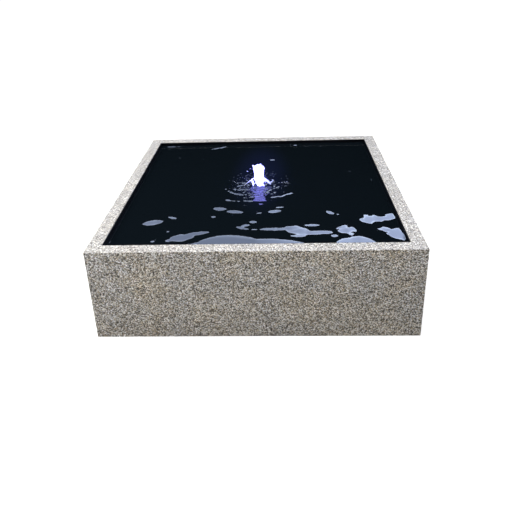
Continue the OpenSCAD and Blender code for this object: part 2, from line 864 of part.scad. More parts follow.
module riser_tube() {
    socket_z = outlet_top - socket_len;
    color("#24272b") difference() {
        union() {
            translate([0, 0, socket_z])
                cylinder(r = socket_in_r + pipe_t, h = outlet_top + riser_web - socket_z);
            translate([0, 0, outlet_top]) cylinder(r = tube_r, h = tube_top - outlet_top);
        }
        translate([0, 0, socket_z - over]) cylinder(r = socket_in_r, h = socket_len + over);
        translate([0, 0, socket_z]) cylinder(r = min(outlet_r, extension_r) - 1, h = tube_top);
        translate([0, 0, outlet_top + riser_web]) cylinder(r = extension_r + fit, h = tube_top);
    }
}

module grip_ring() {
    color("#151515") translate([0, 0, tube_top]) ring(tube_r - 0.5, extension_r + fit, grip_h);
}

module riser_nut() {
    flutes = 12;
    color("#303338") difference() {
        translate([0, 0, nut_top - nut_h]) cylinder(r = nut_r, h = nut_h);
        translate([0, 0, nut_top - nut_h - over])
            cylinder(r = tube_r + fit, h = nut_h - nut_cap + over);
        translate([0, 0, nut_top - nut_h]) cylinder(r = extension_r + gap, h = nut_h + over);
        for (i = [0:flutes - 1]) rotate([0, 0, 360 * i / flutes])
            translate([nut_r + 0.8, 0, nut_top - nut_h - over]) cylinder(r = 2, h = nut_h + 2 * over);
    }
}

module riser_extension() {
    color("#24272b") translate([0, 0, extension_z])
        ring(extension_r, extension_r - extension_t, nozzle_z + nozzle_grip - extension_z);
}

module nozzle() {
    cone_z = bezel_z + light_nut_t;
    color("#2e3136") difference() {
        union() {
            translate([0, 0, nozzle_z]) cylinder(r = nozzle_flange_r, h = nozzle_flange_t);
            translate([0, 0, nozzle_z]) cylinder(r = nozzle_r, h = cone_z - nozzle_z);
            translate([0, 0, cone_z]) cylinder(r1 = nozzle_r, r2 = tip_r, h = nozzle_top - cone_z);
        }
        translate([0, 0, nozzle_z - over]) cylinder(r = extension_r + fit, h = nozzle_grip + over);
        translate([0, 0, nozzle_z]) cylinder(r = extension_r - extension_t, h = cone_z - nozzle_z);
        translate([0, 0, cone_z - over]) cylinder(r = orifice_r, h = nozzle_top - cone_z + 2 * over);
    }
}

module light_ring_screws(z, length, r) {
    for (i = [0:light_count - 1]) rotate([0, 0, 360 * (i + 0.5) / light_count])
        translate([boss_at, 0, z]) cylinder(r = r, h = length);
}

module light_housing() {
    screw_hole = 8;
    color("#55595e") difference() {
        union() {
            difference() {
                union() {
                    translate([0, 0, light_z]) cylinder(r = light_r, h = light_h);
                    along_y(lead_x, light_r - light_t, light_lead_z)
                        cylinder(r = light_boss_r, h = light_boss_end - light_r + light_t);
                }
                translate([0, 0, light_z + light_t])
                    ring(light_r - light_t, light_in_r + light_t, light_h);
            }
            light_ring_screws(light_z, light_h, boss_r);
        }
        translate([0, 0, light_z - over]) cylinder(r = light_in_r, h = light_h + 2 * over);
        along_y(lead_x, light_r - 2 * light_t, light_lead_z)
            cylinder(r = lead_r + fit, h = light_boss_end - light_r + 3 * light_t);
        light_ring_screws(gasket_z - screw_hole, screw_hole + over, 1.25 + fit);
    }
}

module light_board() {
    color("#1f5b3a") translate([0, 0, light_z + light_t])
        ring(boss_at - boss_r - gap, light_in_r + light_t + gap, board_t);
}

module light_emitters() {
    color("#f4f2d8") for (i = [0:light_count - 1]) rotate([0, 0, 360 * i / light_count])
        translate([emitter_at - emitter_w / 2, -emitter_w / 2, light_z + light_t + board_t])
            cube([emitter_w, emitter_w, emitter_t]);
}

module light_gasket() {
    color("#151515") {
        translate([0, 0, gasket_z]) ring(light_in_r + light_t, light_in_r + gap, light_gasket_t);
        difference() {
            translate([0, 0, gasket_z]) ring(light_r, boss_at - boss_r, light_gasket_t);
            light_ring_screws(gasket_z - over, light_gasket_t + 2 * over, 1.25 + fit);
        }
    }
}

module light_lens() {
    color("#d6e6ee") difference() {
        translate([0, 0, lens_z]) ring(light_r, light_in_r + gap, lens_t);
        light_ring_screws(lens_z - over, lens_t + 2 * over, 1.25 + fit);
    }
}

module light_bezel() {
    color("#c2c5c8") difference() {
        translate([0, 0, bezel_z]) ring(light_r, boss_at - boss_r, bezel_t);
        light_ring_screws(bezel_z - over, bezel_t + 2 * over, 1.25 + fit);
    }
}

module light_screws() {
    head_t = 1.5;
    shank = bezel_t + lens_t + light_gasket_t + 6;
    color("#b4b7ba") {
        light_ring_screws(bezel_z + bezel_t, head_t, 2.5);
        light_ring_screws(bezel_z + bezel_t - shank, shank, 1.25);
    }
}

module light_locknut() {
    color("#2e3136") translate([0, 0, bezel_z])
        ring(nozzle_flange_r - 1, nozzle_r + fit, light_nut_t);
}

// Everything that stands in the water, as plain shapes with room round them
module immersed_space() {
    room = 1;
    lead_half = lead_x + lead_r + 5;
    lead_high = lead_z + lead_r + 4;
    bung_high = bung_tab_h + 16;
    riser_room = socket_in_r + pipe_t + room;
    translate([-pump_w / 2 - 4, cover_front - dial_t - room, floor_z - over])
        cube([pump_w + 8, motor_end - cover_front + dial_t + 2 * room, pump_top - floor_z + room + over]);
    translate([0, 0, pump_top]) cylinder(r = max(riser_room, nut_r + room), h = water_z - pump_top);
    translate([0, 0, nozzle_z - room]) cylinder(r = jet_foot_r + gap, h = water_z - nozzle_z + 20);
    translate([-lead_half, motor_end - over, floor_z - over])
        cube([2 * lead_half, gland_y - motor_end, lead_high - floor_z + over]);
    translate([-lead_half, motor_end - over, floor_z - over])
        cube([2 * lead_half, 60, boot_z + boot_r + 4 - floor_z]);
    translate([lead_x - guide_w / 2 - room, light_r, floor_z - over])
        cube([guide_w + 2 * room, guide_y + guide_over + room - light_r, light_lead_z + 8 - floor_z]);
    at_gland(floor_z - over) cylinder(r = gland_hex_r + room, h = gland_top + cap_t - floor_z + 2 * room);
    translate([-lead_half, gland_y - arch_len, floor_z - over])
        cube([2 * lead_half, arch_len + lead_r + room, arch_z + 4 - floor_z]);
    at_drain(floor_z - over) cylinder(r = drain_flange_r + room, h = drain_top - floor_z + 2 * room);
    at_drain(floor_z) cylinder(r = drain_bore_r + 5, h = drain_top - floor_z + bung_high);
}

module pool_water() {
    pocket = 8;
    rings = [for (r = [0:4:ripple_r]) [r, r < jet_foot_r ? water_z : ripple(r)]];
    color("#101820") difference() {
        union() {
            difference() {
                square_block(lined_w, floor_z, water_z);
                translate([0, 0, water_z - pocket]) cylinder(r = ripple_r, h = pocket + over, $fn = 96);
            }
            rotate_extrude($fn = 96) polygon(concat(
                [[0, water_z - pocket]], rings,
                [[ripple_r, water_z], [ripple_r, water_z - pocket]]
            ));
        }
        immersed_space();
    }
}

// The jet: a churned mound, a lumpy column and a ragged crown
module water_jet() {
    steps = 24;
    base_z = water_z + jet_mound;
    mound = [
        for (i = [0:8]) let (t = i / 8)
            [jet_foot_r - t * (jet_foot_r - jet_r * 1.1), water_z + jet_mound * pow(t, 2.2)]
    ];
    crown = [
        [-0.5, 0.05, 0.15, 0.5], [0.5, -0.1, 0.05, 0.52], [0, 0.45, -0.15, 0.5],
        [0.05, -0.5, -0.2, 0.5], [0, 0, -0.1, 0.5]
    ];
    column_h = jet_h - jet_mound - jet_r * max([for (c = crown) c[2] + c[3]]);
    column = [
        for (i = [1:steps]) let (t = i / steps)
            [
                jet_r * (0.95 + 0.18 * pow(1 - t, 3) + 0.07 * pow(t, 3) + 0.04 * sin(1500 * t)),
                base_z + t * column_h
            ]
    ];
    color("#dfe6ff") {
        rotate_extrude() polygon(concat(
            [[0, nozzle_top + gap], [jet_foot_r, nozzle_top + gap]], mound, column,
            [[0, base_z + column_h]]
        ));
        for (c = crown) translate([c[0] * jet_r, c[1] * jet_r, base_z + column_h + c[2] * jet_r])
            sphere(r = c[3] * jet_r, $fn = 32);
    }
}

basin_shell();
basin_lining();
drain_body();
drain_gasket();
drain_washer();
drain_back_nut();
drain_bung();
gland_body();
gland_washer();
gland_locknut();
gland_insert();
gland_cap();
coupler_body();
coupler_saddle();
saddle_screws();
pump_lead();
light_lead();
lead_clips();
pump_lead_boot();
motor_housing();
stator_core();
left_winding();
right_winding();
potting_resin();
rotor_shaft();
rear_bush();
front_bush();
rotor_magnet();
impeller();
chamber_body();
chamber_seal();
chamber_screws();
suction_feet();
intake_cover();
flow_dial();
riser_tube();
grip_ring();
riser_nut();
riser_extension();
nozzle();
light_housing();
light_board();
light_emitters();
light_gasket();
light_lens();
light_bezel();
light_screws();
light_locknut();
pool_water();
water_jet();
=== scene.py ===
import json
import math
import random

import bmesh
import bpy
import numpy
from mathutils import Matrix, Vector, noise

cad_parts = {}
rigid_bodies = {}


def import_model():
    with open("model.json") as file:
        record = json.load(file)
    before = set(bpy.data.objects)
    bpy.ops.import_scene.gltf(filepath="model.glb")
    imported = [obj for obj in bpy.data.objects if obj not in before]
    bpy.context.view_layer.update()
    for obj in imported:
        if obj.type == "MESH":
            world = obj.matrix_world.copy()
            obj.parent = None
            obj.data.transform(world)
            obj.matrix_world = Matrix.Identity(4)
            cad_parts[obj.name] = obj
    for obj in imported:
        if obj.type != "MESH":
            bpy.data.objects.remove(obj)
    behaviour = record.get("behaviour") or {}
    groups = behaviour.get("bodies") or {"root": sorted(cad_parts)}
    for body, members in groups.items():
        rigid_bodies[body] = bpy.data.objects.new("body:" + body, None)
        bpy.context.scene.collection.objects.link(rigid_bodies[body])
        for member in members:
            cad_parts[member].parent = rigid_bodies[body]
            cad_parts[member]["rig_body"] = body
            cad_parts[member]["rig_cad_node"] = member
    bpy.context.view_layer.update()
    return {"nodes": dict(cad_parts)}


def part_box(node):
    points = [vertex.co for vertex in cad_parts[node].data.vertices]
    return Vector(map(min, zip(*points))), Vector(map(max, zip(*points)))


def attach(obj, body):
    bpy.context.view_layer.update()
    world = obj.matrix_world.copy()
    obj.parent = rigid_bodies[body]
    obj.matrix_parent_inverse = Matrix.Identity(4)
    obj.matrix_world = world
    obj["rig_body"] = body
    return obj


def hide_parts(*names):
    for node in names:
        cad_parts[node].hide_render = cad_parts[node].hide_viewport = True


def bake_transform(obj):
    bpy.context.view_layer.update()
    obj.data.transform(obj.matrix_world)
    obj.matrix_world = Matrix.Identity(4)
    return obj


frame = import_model()
scene = bpy.context.scene
mm = 0.001

shellLow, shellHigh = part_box("basin_shell")
liningLow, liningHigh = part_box("basin_lining")
poolLow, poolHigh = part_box("pool_water")
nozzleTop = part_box("nozzle")[1].z

basinWidth = shellHigh.x - shellLow.x
rimTop = shellHigh.z
wallWidth = shellHigh.x - liningHigh.x
waterWidth = poolHigh.x - poolLow.x
waterLevel = nozzleTop + 2 * mm  # the nozzle ends 2 mm below the water


# Small helpers

def toLinear(hexColour):
    channels = [int(hexColour[i:i + 2], 16) / 255 for i in (1, 3, 5)]
    linear = [c / 12.92 if c <= 0.04045 else ((c + 0.055) / 1.055) ** 2.4 for c in channels]
    return (*linear, 1.0)


def addNode(tree, kind, settings=None, links=None):
    node = tree.nodes.new("ShaderNode" + kind)
    for name, value in (settings or {}).items():
        if isinstance(name, int) or name in node.inputs:
            node.inputs[name].default_value = value
        else:
            setattr(node, name, value)
    for name, source in (links or {}).items():
        tree.links.new(source, node.inputs[name])
    return node


def emptyTree(owner):
    owner.use_nodes = True
    owner.node_tree.nodes.clear()
    return owner.node_tree


def newMaterial(name, uniform=None):
    # uniform is what stays the same all over the surface
    material = bpy.data.materials.new(name)
    tree = emptyTree(material)
    shader = addNode(tree, "BsdfPrincipled", uniform)
    output = addNode(tree, "OutputMaterial", None, {"Surface": shader.outputs["BSDF"]})
    output.is_active_output = True
    place = addNode(tree, "TexCoord").outputs["Object"]
    return material, tree, shader, place


def feed(material, shader, sources):
    for name, source in sources.items():
        material.node_tree.links.new(source, shader.inputs[name])
    return material


def fill(mesh, bm, smooth=True):
    bm.to_mesh(mesh)
    bm.free()
    mesh.polygons.foreach_set("use_smooth", [smooth] * len(mesh.polygons))


def newPiece(name, bm, materials, smooth=True):
    mesh = bpy.data.meshes.new(name)
    fill(mesh, bm, smooth)
    piece = bpy.data.objects.new(name, mesh)
    scene.collection.objects.link(piece)
    for material in materials:
        mesh.materials.append(material)
    return piece


def bakeModifiers(piece):
    # the piece keeps the mesh that its modifiers make
    bpy.context.view_layer.update()
    made = bpy.data.meshes.new_from_object(piece.evaluated_get(bpy.context.evaluated_depsgraph_get()))
    old = piece.data
    piece.modifiers.clear()
    piece.data = made
    made.name = piece.name
    bpy.data.meshes.remove(old)


def seat(piece, body, slot, *nodes):
    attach(piece, body)
    if nodes:
        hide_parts(*nodes)


# Camera, solved from the basin's eight corners

cameraSettings = {
    "place": (0.0774, -1.8556, 1.115),
    "turn": 2.693,
    "down": 22.972,
    "roll": -2.0,
    "lens": 38.274,
    "sensor": 36.0,
    "shift": -80 / 512,
}


def makeCamera():
    s = cameraSettings
    data = bpy.data.cameras.new("camera")
    data.sensor_width = s["sensor"]
    data.lens = s["lens"]
    data.shift_y = s["shift"]
    data.clip_end = 100
    camera = bpy.data.objects.new("camera", data)
    scene.collection.objects.link(camera)
    turn = Matrix.Rotation(math.radians(s["turn"]), 4, "Z")
    tilt = Matrix.Rotation(math.radians(90 - s["down"]), 4, "X")
    roll = Matrix.Rotation(math.radians(s["roll"]), 4, "Z")
    camera.matrix_world = Matrix.Translation(s["place"]) @ turn @ tilt @ roll
    scene.camera = camera
    print("camera placed")


# Stage: a white floor, plain soft lamps, and a dark surround with a pale sky above it for the water to mirror

stageSettings = {
    "floorSize": 60.0,
    "floorColour": "#b8b8b8",
    "floorGlow": 0.85,
    "worldColour": "#ffffff",
    "worldLight": 0.45,
    "lampAim": (0, 0, 0.2),
    "lamps": (
        # name, place, width, power, colour
        ("key", (-0.9, -0.3, 3.2), 2.4, 60.0, "#fffcf8"),
        ("fill", (-2.4, -2.0, 1.8), 1.2, 42.0, "#fffcf8"),
    ),
    "surroundRadius": 3.6,
    "surroundFloor": 0.05,
    "treeLine": 2.95,          # top of the dark part
    "skyTop": 6.4,
    "skyColours": ("#cbdbf9", "#bccdf4"),
    "skyGlow": (23.5, 14.6),   # just over the dark part, and higher
    "hazeDepth": 0.3,
    "brightSide": (-0.4, 0.9), # the sky grows brighter between these, along X
    "dimSky": 0.44,            # of its glow at the dim side
}


def whiteWhereSeen(tree, output, lit, white):
    # the camera's rays, mirrored and refracted ones see the plain white ground
    path = addNode(tree, "LightPath").outputs
    first = addNode(tree, "Math", {"operation": "MAXIMUM"},
                    {0: path["Is Camera Ray"], 1: path["Is Glossy Ray"]})
    seen = addNode(tree, "Math", {"operation": "MAXIMUM"},
                   {0: first.outputs[0], 1: path["Is Transmission Ray"]})
    mixed = addNode(tree, "MixShader", None, {0: seen.outputs[0], 1: lit.outputs[0], 2: white.outputs[0]})
    addNode(tree, output, None, {"Surface": mixed.outputs[0]})


def makeFloor():
    s = stageSettings
    bm = bmesh.new()
    bmesh.ops.create_grid(bm, x_segments=1, y_segments=1, size=s["floorSize"] / 2)
    material = bpy.data.materials.new("paperFloor")
    tree = emptyTree(material)
    paper = addNode(tree, "BsdfDiffuse", {"Color": toLinear(s["floorColour"])})
    glow = addNode(tree, "Emission", {"Strength": s["floorGlow"]})
    white = addNode(tree, "AddShader", None, {0: paper.outputs[0], 1: glow.outputs[0]})
    whiteWhereSeen(tree, "OutputMaterial", paper, white)
    floor = newPiece("floor", bm, [material])


def makeWorld():
    s = stageSettings
    scene.world = bpy.data.worlds.new("studio")
    tree = emptyTree(scene.world)
    light = addNode(tree, "Background", {"Color": toLinear(s["worldColour"]), "Strength": s["worldLight"]})
    white = addNode(tree, "Background", {"Color": (1, 1, 1, 1), "Strength": 1.0})
    whiteWhereSeen(tree, "OutputWorld", light, white)


def makeSurround():
    # mirrored in the water alone: it casts neither light nor shade on the basin
    s = stageSettings
    bm = bmesh.new()
    bmesh.ops.create_circle(bm, cap_ends=False, segments=64, radius=s["surroundRadius"],
                            matrix=Matrix.Translation((0, 0, s["surroundFloor"])))
    made = bmesh.ops.extrude_edge_only(bm, edges=bm.edges)
    upper = [v for v in made["geom"] if isinstance(v, bmesh.types.BMVert)]
    bmesh.ops.translate(bm, vec=(0, 0, s["skyTop"] - s["surroundFloor"]), verts=upper)
    material = bpy.data.materials.new("skyOverTrees")
    tree = emptyTree(material)
    place = addNode(tree, "TexCoord").outputs["Object"]
    apart = addNode(tree, "SeparateXYZ", None, {0: place}).outputs
    haze = addNode(tree, "MapRange", {"From Min": s["treeLine"], "From Max": s["treeLine"] + s["hazeDepth"]},
                   {"Value": apart["Z"]})
    near, far = (toLinear(c) for c in s["skyColours"])
    colour = addNode(tree, "Mix", {"data_type": "RGBA", 6: near, 7: far}, {0: haze.outputs[0]})
    low, high = s["skyGlow"]
    bright = addNode(tree, "MapRange", {"To Min": low, "To Max": high}, {"Value": haze.outputs[0]})
    over = addNode(tree, "Math", {"operation": "GREATER_THAN", 1: s["treeLine"]}, {0: apart["Z"]})
    left, right = s["brightSide"]
    side = addNode(tree, "MapRange", {"From Min": left, "From Max": right, "To Min": s["dimSky"]},
                   {"Value": apart["X"]})
    sided = addNode(tree, "Math", {"operation": "MULTIPLY"}, {0: bright.outputs[0], 1: side.outputs[0]})
    strength = addNode(tree, "Math", {"operation": "MULTIPLY"}, {0: sided.outputs[0], 1: over.outputs[0]})
    sky = addNode(tree, "Emission", None, {"Color": colour.outputs[2], "Strength": strength.outputs[0]})
    addNode(tree, "OutputMaterial", None, {"Surface": sky.outputs[0]})
    surround = newPiece("surround", bm, [material])
    for rays in ("camera", "diffuse", "transmission", "volume_scatter", "shadow"):
        setattr(surround, "visible_" + rays, False)


def makeLamps():
    for name, place, width, power, colour in stageSettings["lamps"]:
        data = bpy.data.lights.new(name, "AREA")
        data.shape = "DISK"
        data.size = width
        data.energy = power
        data.color = toLinear(colour)[:3]
        lamp = bpy.data.objects.new(name, data)
        scene.collection.objects.link(lamp)
        lamp.visible_glossy = False
        lamp.location = place
        aim = Vector(stageSettings["lampAim"]) - lamp.location
        lamp.rotation_euler = aim.to_track_quat("-Z", "Y").to_euler()


# Cast basin: exposed aggregate, washed on its sides and ground on its rim; the rim is painted lighter,
# standing in for light from above

aggregateSettings = {
    "stone": 3.0,          # mm across a stone
    "chip": 1.7,           # mm across a chip between the stones
    "sand": 0.9,           # mm across the sand in the paste
    "cloud": 45.0,         # mm across a lighter or darker cloud
    "hue": 110.0,          # mm across a warmer or cooler one
    "clump": 6.5,          # mm across a clump of stones, as coarse as the rim's far side needs
    "crooked": 0.5,        # mm that an outline strays
    "crookedEvery": 3.0,   # mm
    "filled": 0.86,        # share of the cells that hold a stone: paste and chips show in the others
}


def stoneColours(tree, value, stones):
    ramp = addNode(tree, "ValToRGB", None, {"Fac": value})
    ramp.color_ramp.interpolation = "CONSTANT"
    steps = ramp.color_ramp.elements
    for i, (start, colour) in enumerate(stones):
        step = steps[i] if i < 2 else steps.new(start)
        step.position = start
        step.color = toLinear(colour)
    return ramp.outputs[0]


def aggregate(name, finish):
    # Exposed-aggregate concrete, cast, then washed or ground: crushed stones of mixed colours and small
    # chips in a sandy paste, matt, each stone standing a little proud of the darker paste round it
    s = aggregateSettings
    material, tree, shader, place = newMaterial(name, {"Specular IOR Level": 0.3})
    stray = addNode(tree, "TexNoise", {"Scale": 1000 / s["crookedEvery"], "Detail": 1.0}, {"Vector": place})
    strayed = addNode(tree, "VectorMath", {"operation": "MULTIPLY_ADD", 1: (s["crooked"] * mm,) * 3},
                      {0: stray.outputs["Color"], 2: place}).outputs[0]
    body = None
    raised = None
    for size, low, high in ((s["chip"], 0.08, 0.2), (s["stone"], 0.05, 0.15)):
        cells = addNode(tree, "TexVoronoi", {"Scale": 1000 / size}, {"Vector": strayed})
        edge = addNode(tree, "TexVoronoi", {"Scale": 1000 / size, "feature": "DISTANCE_TO_EDGE"},
                       {"Vector": strayed})
        split = addNode(tree, "SeparateColor", None, {"Color": cells.outputs["Color"]})
        colour = stoneColours(tree, split.outputs[0], finish["stones"])
        solid = addNode(tree, "MapRange", {"From Min": low, "From Max": high},
                        {"Value": edge.outputs["Distance"]})
        kept = addNode(tree, "Math", {"operation": "LESS_THAN", 1: s["filled"]}, {0: split.outputs[1]})
        mask = addNode(tree, "Math", {"operation": "MULTIPLY"},
                       {0: solid.outputs[0], 1: kept.outputs[0]}).outputs[0]
        body = addNode(tree, "Mix", {"data_type": "RGBA", 6: toLinear(finish["paste"])},
                       {0: mask, 7: colour, **({6: body} if body else {})}).outputs[2]
        raised = addNode(tree, "Math", {"operation": "MAXIMUM"},
                         {0: mask, **({1: raised} if raised else {})}).outputs[0]
    tones = []
    for size, detail, low, spread in ((s["sand"], 2.0, 0.3, 0.2), (s["cloud"], 3.0, 0.3, 0.09),
                                      (s["clump"], 1.0, 0.35, finish["clumps"])):
        grain = addNode(tree, "TexNoise", {"Scale": 1000 / size, "Detail": detail}, {"Vector": place})
        tones.append(addNode(tree, "MapRange", {
            "From Min": low, "From Max": 1 - low, "To Min": 1 - spread, "To Max": 1 + spread},
            {"Value": grain.outputs[0]}).outputs[0])
    sandTone, cloudTone, clumpTone = tones
    hue = addNode(tree, "TexNoise", {"Scale": 1000 / s["hue"]}, {"Vector": place})
    warmth = addNode(tree, "MapRange", {"From Min": 0.38, "From Max": 0.6}, {"Value": hue.outputs[0]})
    warm, cool = finish["hues"]
    tint = addNode(tree, "Mix", {"data_type": "RGBA", 6: (*warm, 1), 7: (*cool, 1)}, {0: warmth.outputs[0]})
    level = addNode(tree, "SeparateXYZ", None, {0: place}).outputs["Z"]
    # painted shade: the tone runs from darker at the foot to lighter at the top, as light from above would
    # fall
    foot, top = finish["heightShade"]
    heightShade = addNode(tree, "MapRange", {"From Max": rimTop, "To Min": foot, "To Max": top}, {"Value": level})
    mottled = addNode(tree, "Math", {"operation": "MULTIPLY"}, {0: cloudTone, 1: clumpTone})
    clouded = addNode(tree, "Math", {"operation": "MULTIPLY"}, {0: mottled.outputs[0], 1: heightShade.outputs[0]})
    whole = addNode(tree, "Math", {"operation": "MULTIPLY"}, {0: sandTone, 1: clouded.outputs[0]})
    gritty = addNode(tree, "VectorMath", {"operation": "SCALE"}, {0: body, "Scale": whole.outputs[0]})
    tinted = addNode(tree, "VectorMath", {"operation": "MULTIPLY"},
                     {0: gritty.outputs[0], 1: tint.outputs[2]})
    mean = finish["rough"]
    rough = addNode(tree, "MapRange", {"To Min": mean + 0.08, "To Max": mean - 0.08}, {"Value": raised})
    height = addNode(tree, "Math", {"operation": "MULTIPLY"}, {0: raised, 1: sandTone})
    bump = addNode(tree, "Bump", {"Distance": finish["relief"] * mm},
                   {"Height": height.outputs[0]})
    return feed(material, shader, {"Base Color": tinted.outputs[0], "Roughness": rough.outputs[0],
                                   "Normal": bump.outputs[0]})


def castPaste():
    # The same concrete where it lay against a smooth mould: a closed grey cement skin with fine blowholes
    material, tree, shader, place = newMaterial("castCementSkin", {"Roughness": 0.8})
    cloud = addNode(tree, "TexNoise", {"Scale": 1000 / 40, "Detail": 5.0}, {"Vector": place})
    tone = addNode(tree, "Mix", {"data_type": "RGBA", 6: toLinear("#8f8b84"), 7: toLinear("#b3aea5")},
                   {0: cloud.outputs[0]})
    holes = addNode(tree, "TexVoronoi", {"Scale": 1000 / 22}, {"Vector": place})
    pit = addNode(tree, "MapRange", {"From Min": 0.05, "From Max": 0.09},
                  {"Value": holes.outputs["Distance"]})
    bump = addNode(tree, "Bump", {"Distance": 0.8 * mm}, {"Height": pit.outputs[0]})
    return feed(material, shader, {"Base Color": tone.outputs[2], "Normal": bump.outputs[0]})


shellSettings = {
    "slab": liningLow.z,
    "recess": 40 * mm,
    "foot": 60 * mm,
    "slotWidth": 60 * mm,
    "slotHeight": 30 * mm,
    "arris": 2.0 * mm,
    "cutOver": 5 * mm,     # that a cutter runs past the face it cuts
    "drainHole": 20.3 * mm,
    "glandHole": 12.3 * mm,
    "screwHole": 2.05 * mm,
    "screwDepth": 19 * mm,
    "screwIn": 4 * mm,     # from the pair's end to a screw's axis
    "washed": {
        "stones": (
            (0.0, "#131211"), (0.19, "#5c5347"), (0.29, "#8f8c87"), (0.4, "#c6b89f"), (0.53, "#e8e1d5"),
            (0.66, "#c9c8c6"), (0.76, "#ffffff")),
        "paste": "#706a60",
        "relief": 0.5,         # mm that a stone stands proud
        "rough": 0.86,
        "heightShade": (0.9, 1.1),    # painted shade: darker at the foot and lighter at the top, as light from above falls
        "hues": ((1.03, 1.0, 0.94), (0.99, 1.0, 1.02)),     # warmer and cooler clouds
        "clumps": 0.0,         # how much lighter or darker a clump of stones is
    },
    # ground rim: a real ground finish, with its stones and paste painted lighter than the sides as painted
    # light from above
    "ground": {
        "stones": (
            (0.0, "#38332d"), (0.15, "#857c6f"), (0.27, "#cac6c0"), (0.44, "#e8e3da"), (0.62, "#d6d3ce"),
            (0.74, "#ffffff"), (0.93, "#615b53")),
        "paste": "#b1ada6",
        "relief": 0.1,
        "rough": 0.74,
        "heightShade": (1.0, 1.0),
        "hues": ((1.01, 1.0, 0.975), (1.0, 1.0, 0.985)),
        "clumps": 0.32,
    },
}


def cutAway(piece, name, bm):
    # a hole cut in the piece by another shape
    cutter = newPiece(name, bm, [])
    cut = piece.modifiers.new(name, "BOOLEAN")
    cut.operation = "DIFFERENCE"
    cut.solver = "EXACT"
    cut.object = cutter
    bakeModifiers(piece)
    bpy.data.objects.remove(cutter)


def roundCutter(place, radius, low, high):
    bm = bmesh.new()
    middle = Matrix.Translation((place[0], place[1], (low + high) / 2))
    bmesh.ops.create_cone(bm, cap_ends=True, segments=48, radius1=radius, radius2=radius,
                          depth=high - low, matrix=middle)
    return bm


def makeShell():
    s = shellSettings
    bm = bmesh.new()
    block = Matrix.Translation((0, 0, rimTop / 2)) @ Matrix.Diagonal((basinWidth, basinWidth, rimTop, 1))
    bmesh.ops.create_cube(bm, size=1, matrix=block)
    for up, inset, level in ((1, wallWidth, s["slab"]), (-1, s["foot"], s["recess"])):
        bm.faces.ensure_lookup_table()
        face = max(bm.faces, key=lambda f: f.normal.z * up)
        bmesh.ops.inset_region(bm, faces=[face], thickness=inset, use_even_offset=True)
        hollow = bmesh.ops.extrude_discrete_faces(bm, faces=[face])["faces"][0]
        bmesh.ops.translate(bm, vec=(0, 0, level - hollow.verts[0].co.z), verts=hollow.verts)
    outside = basinWidth / 2 - mm
    soft = []
    for e in bm.edges:
        a, b = (v.co for v in e.verts)
        atRim = min(a.z, b.z) > rimTop - mm and (abs(a.x - b.x) < mm or abs(a.y - b.y) < mm)
        atCorner = all(abs(v.x) > outside and abs(v.y) > outside for v in (a, b))
        atFoot = max(a.z, b.z) < mm and all(max(abs(v.x), abs(v.y)) > outside for v in (a, b))
        if atRim or atCorner or atFoot:
            soft.append(e)
    bmesh.ops.bevel(bm, geom=soft, offset=s["arris"], segments=3, profile=0.5,
                    affect="EDGES", material=-1, clamp_overlap=True)
    bmesh.ops.recalc_face_normals(bm, faces=bm.faces)
    for face in bm.faces:
        middle = face.calc_center_median()
        onRim = middle.z > rimTop - 0.6 * s["arris"]
        outer = max(abs(middle.x), abs(middle.y)) > basinWidth / 2 - s["arris"] and middle.z > mm
        # the rim's top faces take the ground finish, painted lighter for the light from above
        face.material_index = 1 if onRim else 0 if outer else 2
    washed = aggregate("washedAggregate", s["washed"])
    ground = aggregate("groundAggregate", s["ground"])
    shell = newPiece("cast_basin", bm, [washed, ground, castPaste()], smooth=False)
    slot = bmesh.new()
    slotPlace = Matrix.Translation((0, basinWidth / 2 - s["foot"] / 2, 0))
    slotSize = Matrix.Diagonal((s["slotWidth"], s["foot"] * 1.2, s["slotHeight"] * 2, 1))
    bmesh.ops.create_cube(slot, size=1, matrix=slotPlace @ slotSize)
    cutAway(shell, "cable_slot", slot)
    under, over = s["recess"] - s["cutOver"], s["slab"] + s["cutOver"]
    for node, radius in (("drain_body", s["drainHole"]), ("gland_body", s["glandHole"])):
        low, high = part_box(node)
        cutAway(shell, node + "_hole", roundCutter((low + high) / 2, radius, under, over))
    low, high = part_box("saddle_screws")
    for x in (low.x + s["screwIn"], high.x - s["screwIn"]):
        hole = roundCutter((x, (low.y + high.y) / 2), s["screwHole"], under, s["recess"] + s["screwDepth"])
        cutAway(shell, "screw_hole", hole)
    seat(shell, "basin", "aggregate_concrete", "basin_shell")
    print("cast basin made,", len(shell.data.polygons), "faces")


# Water: a dark mirror, ringed by ripples round the jet, with low swells that catch the sky

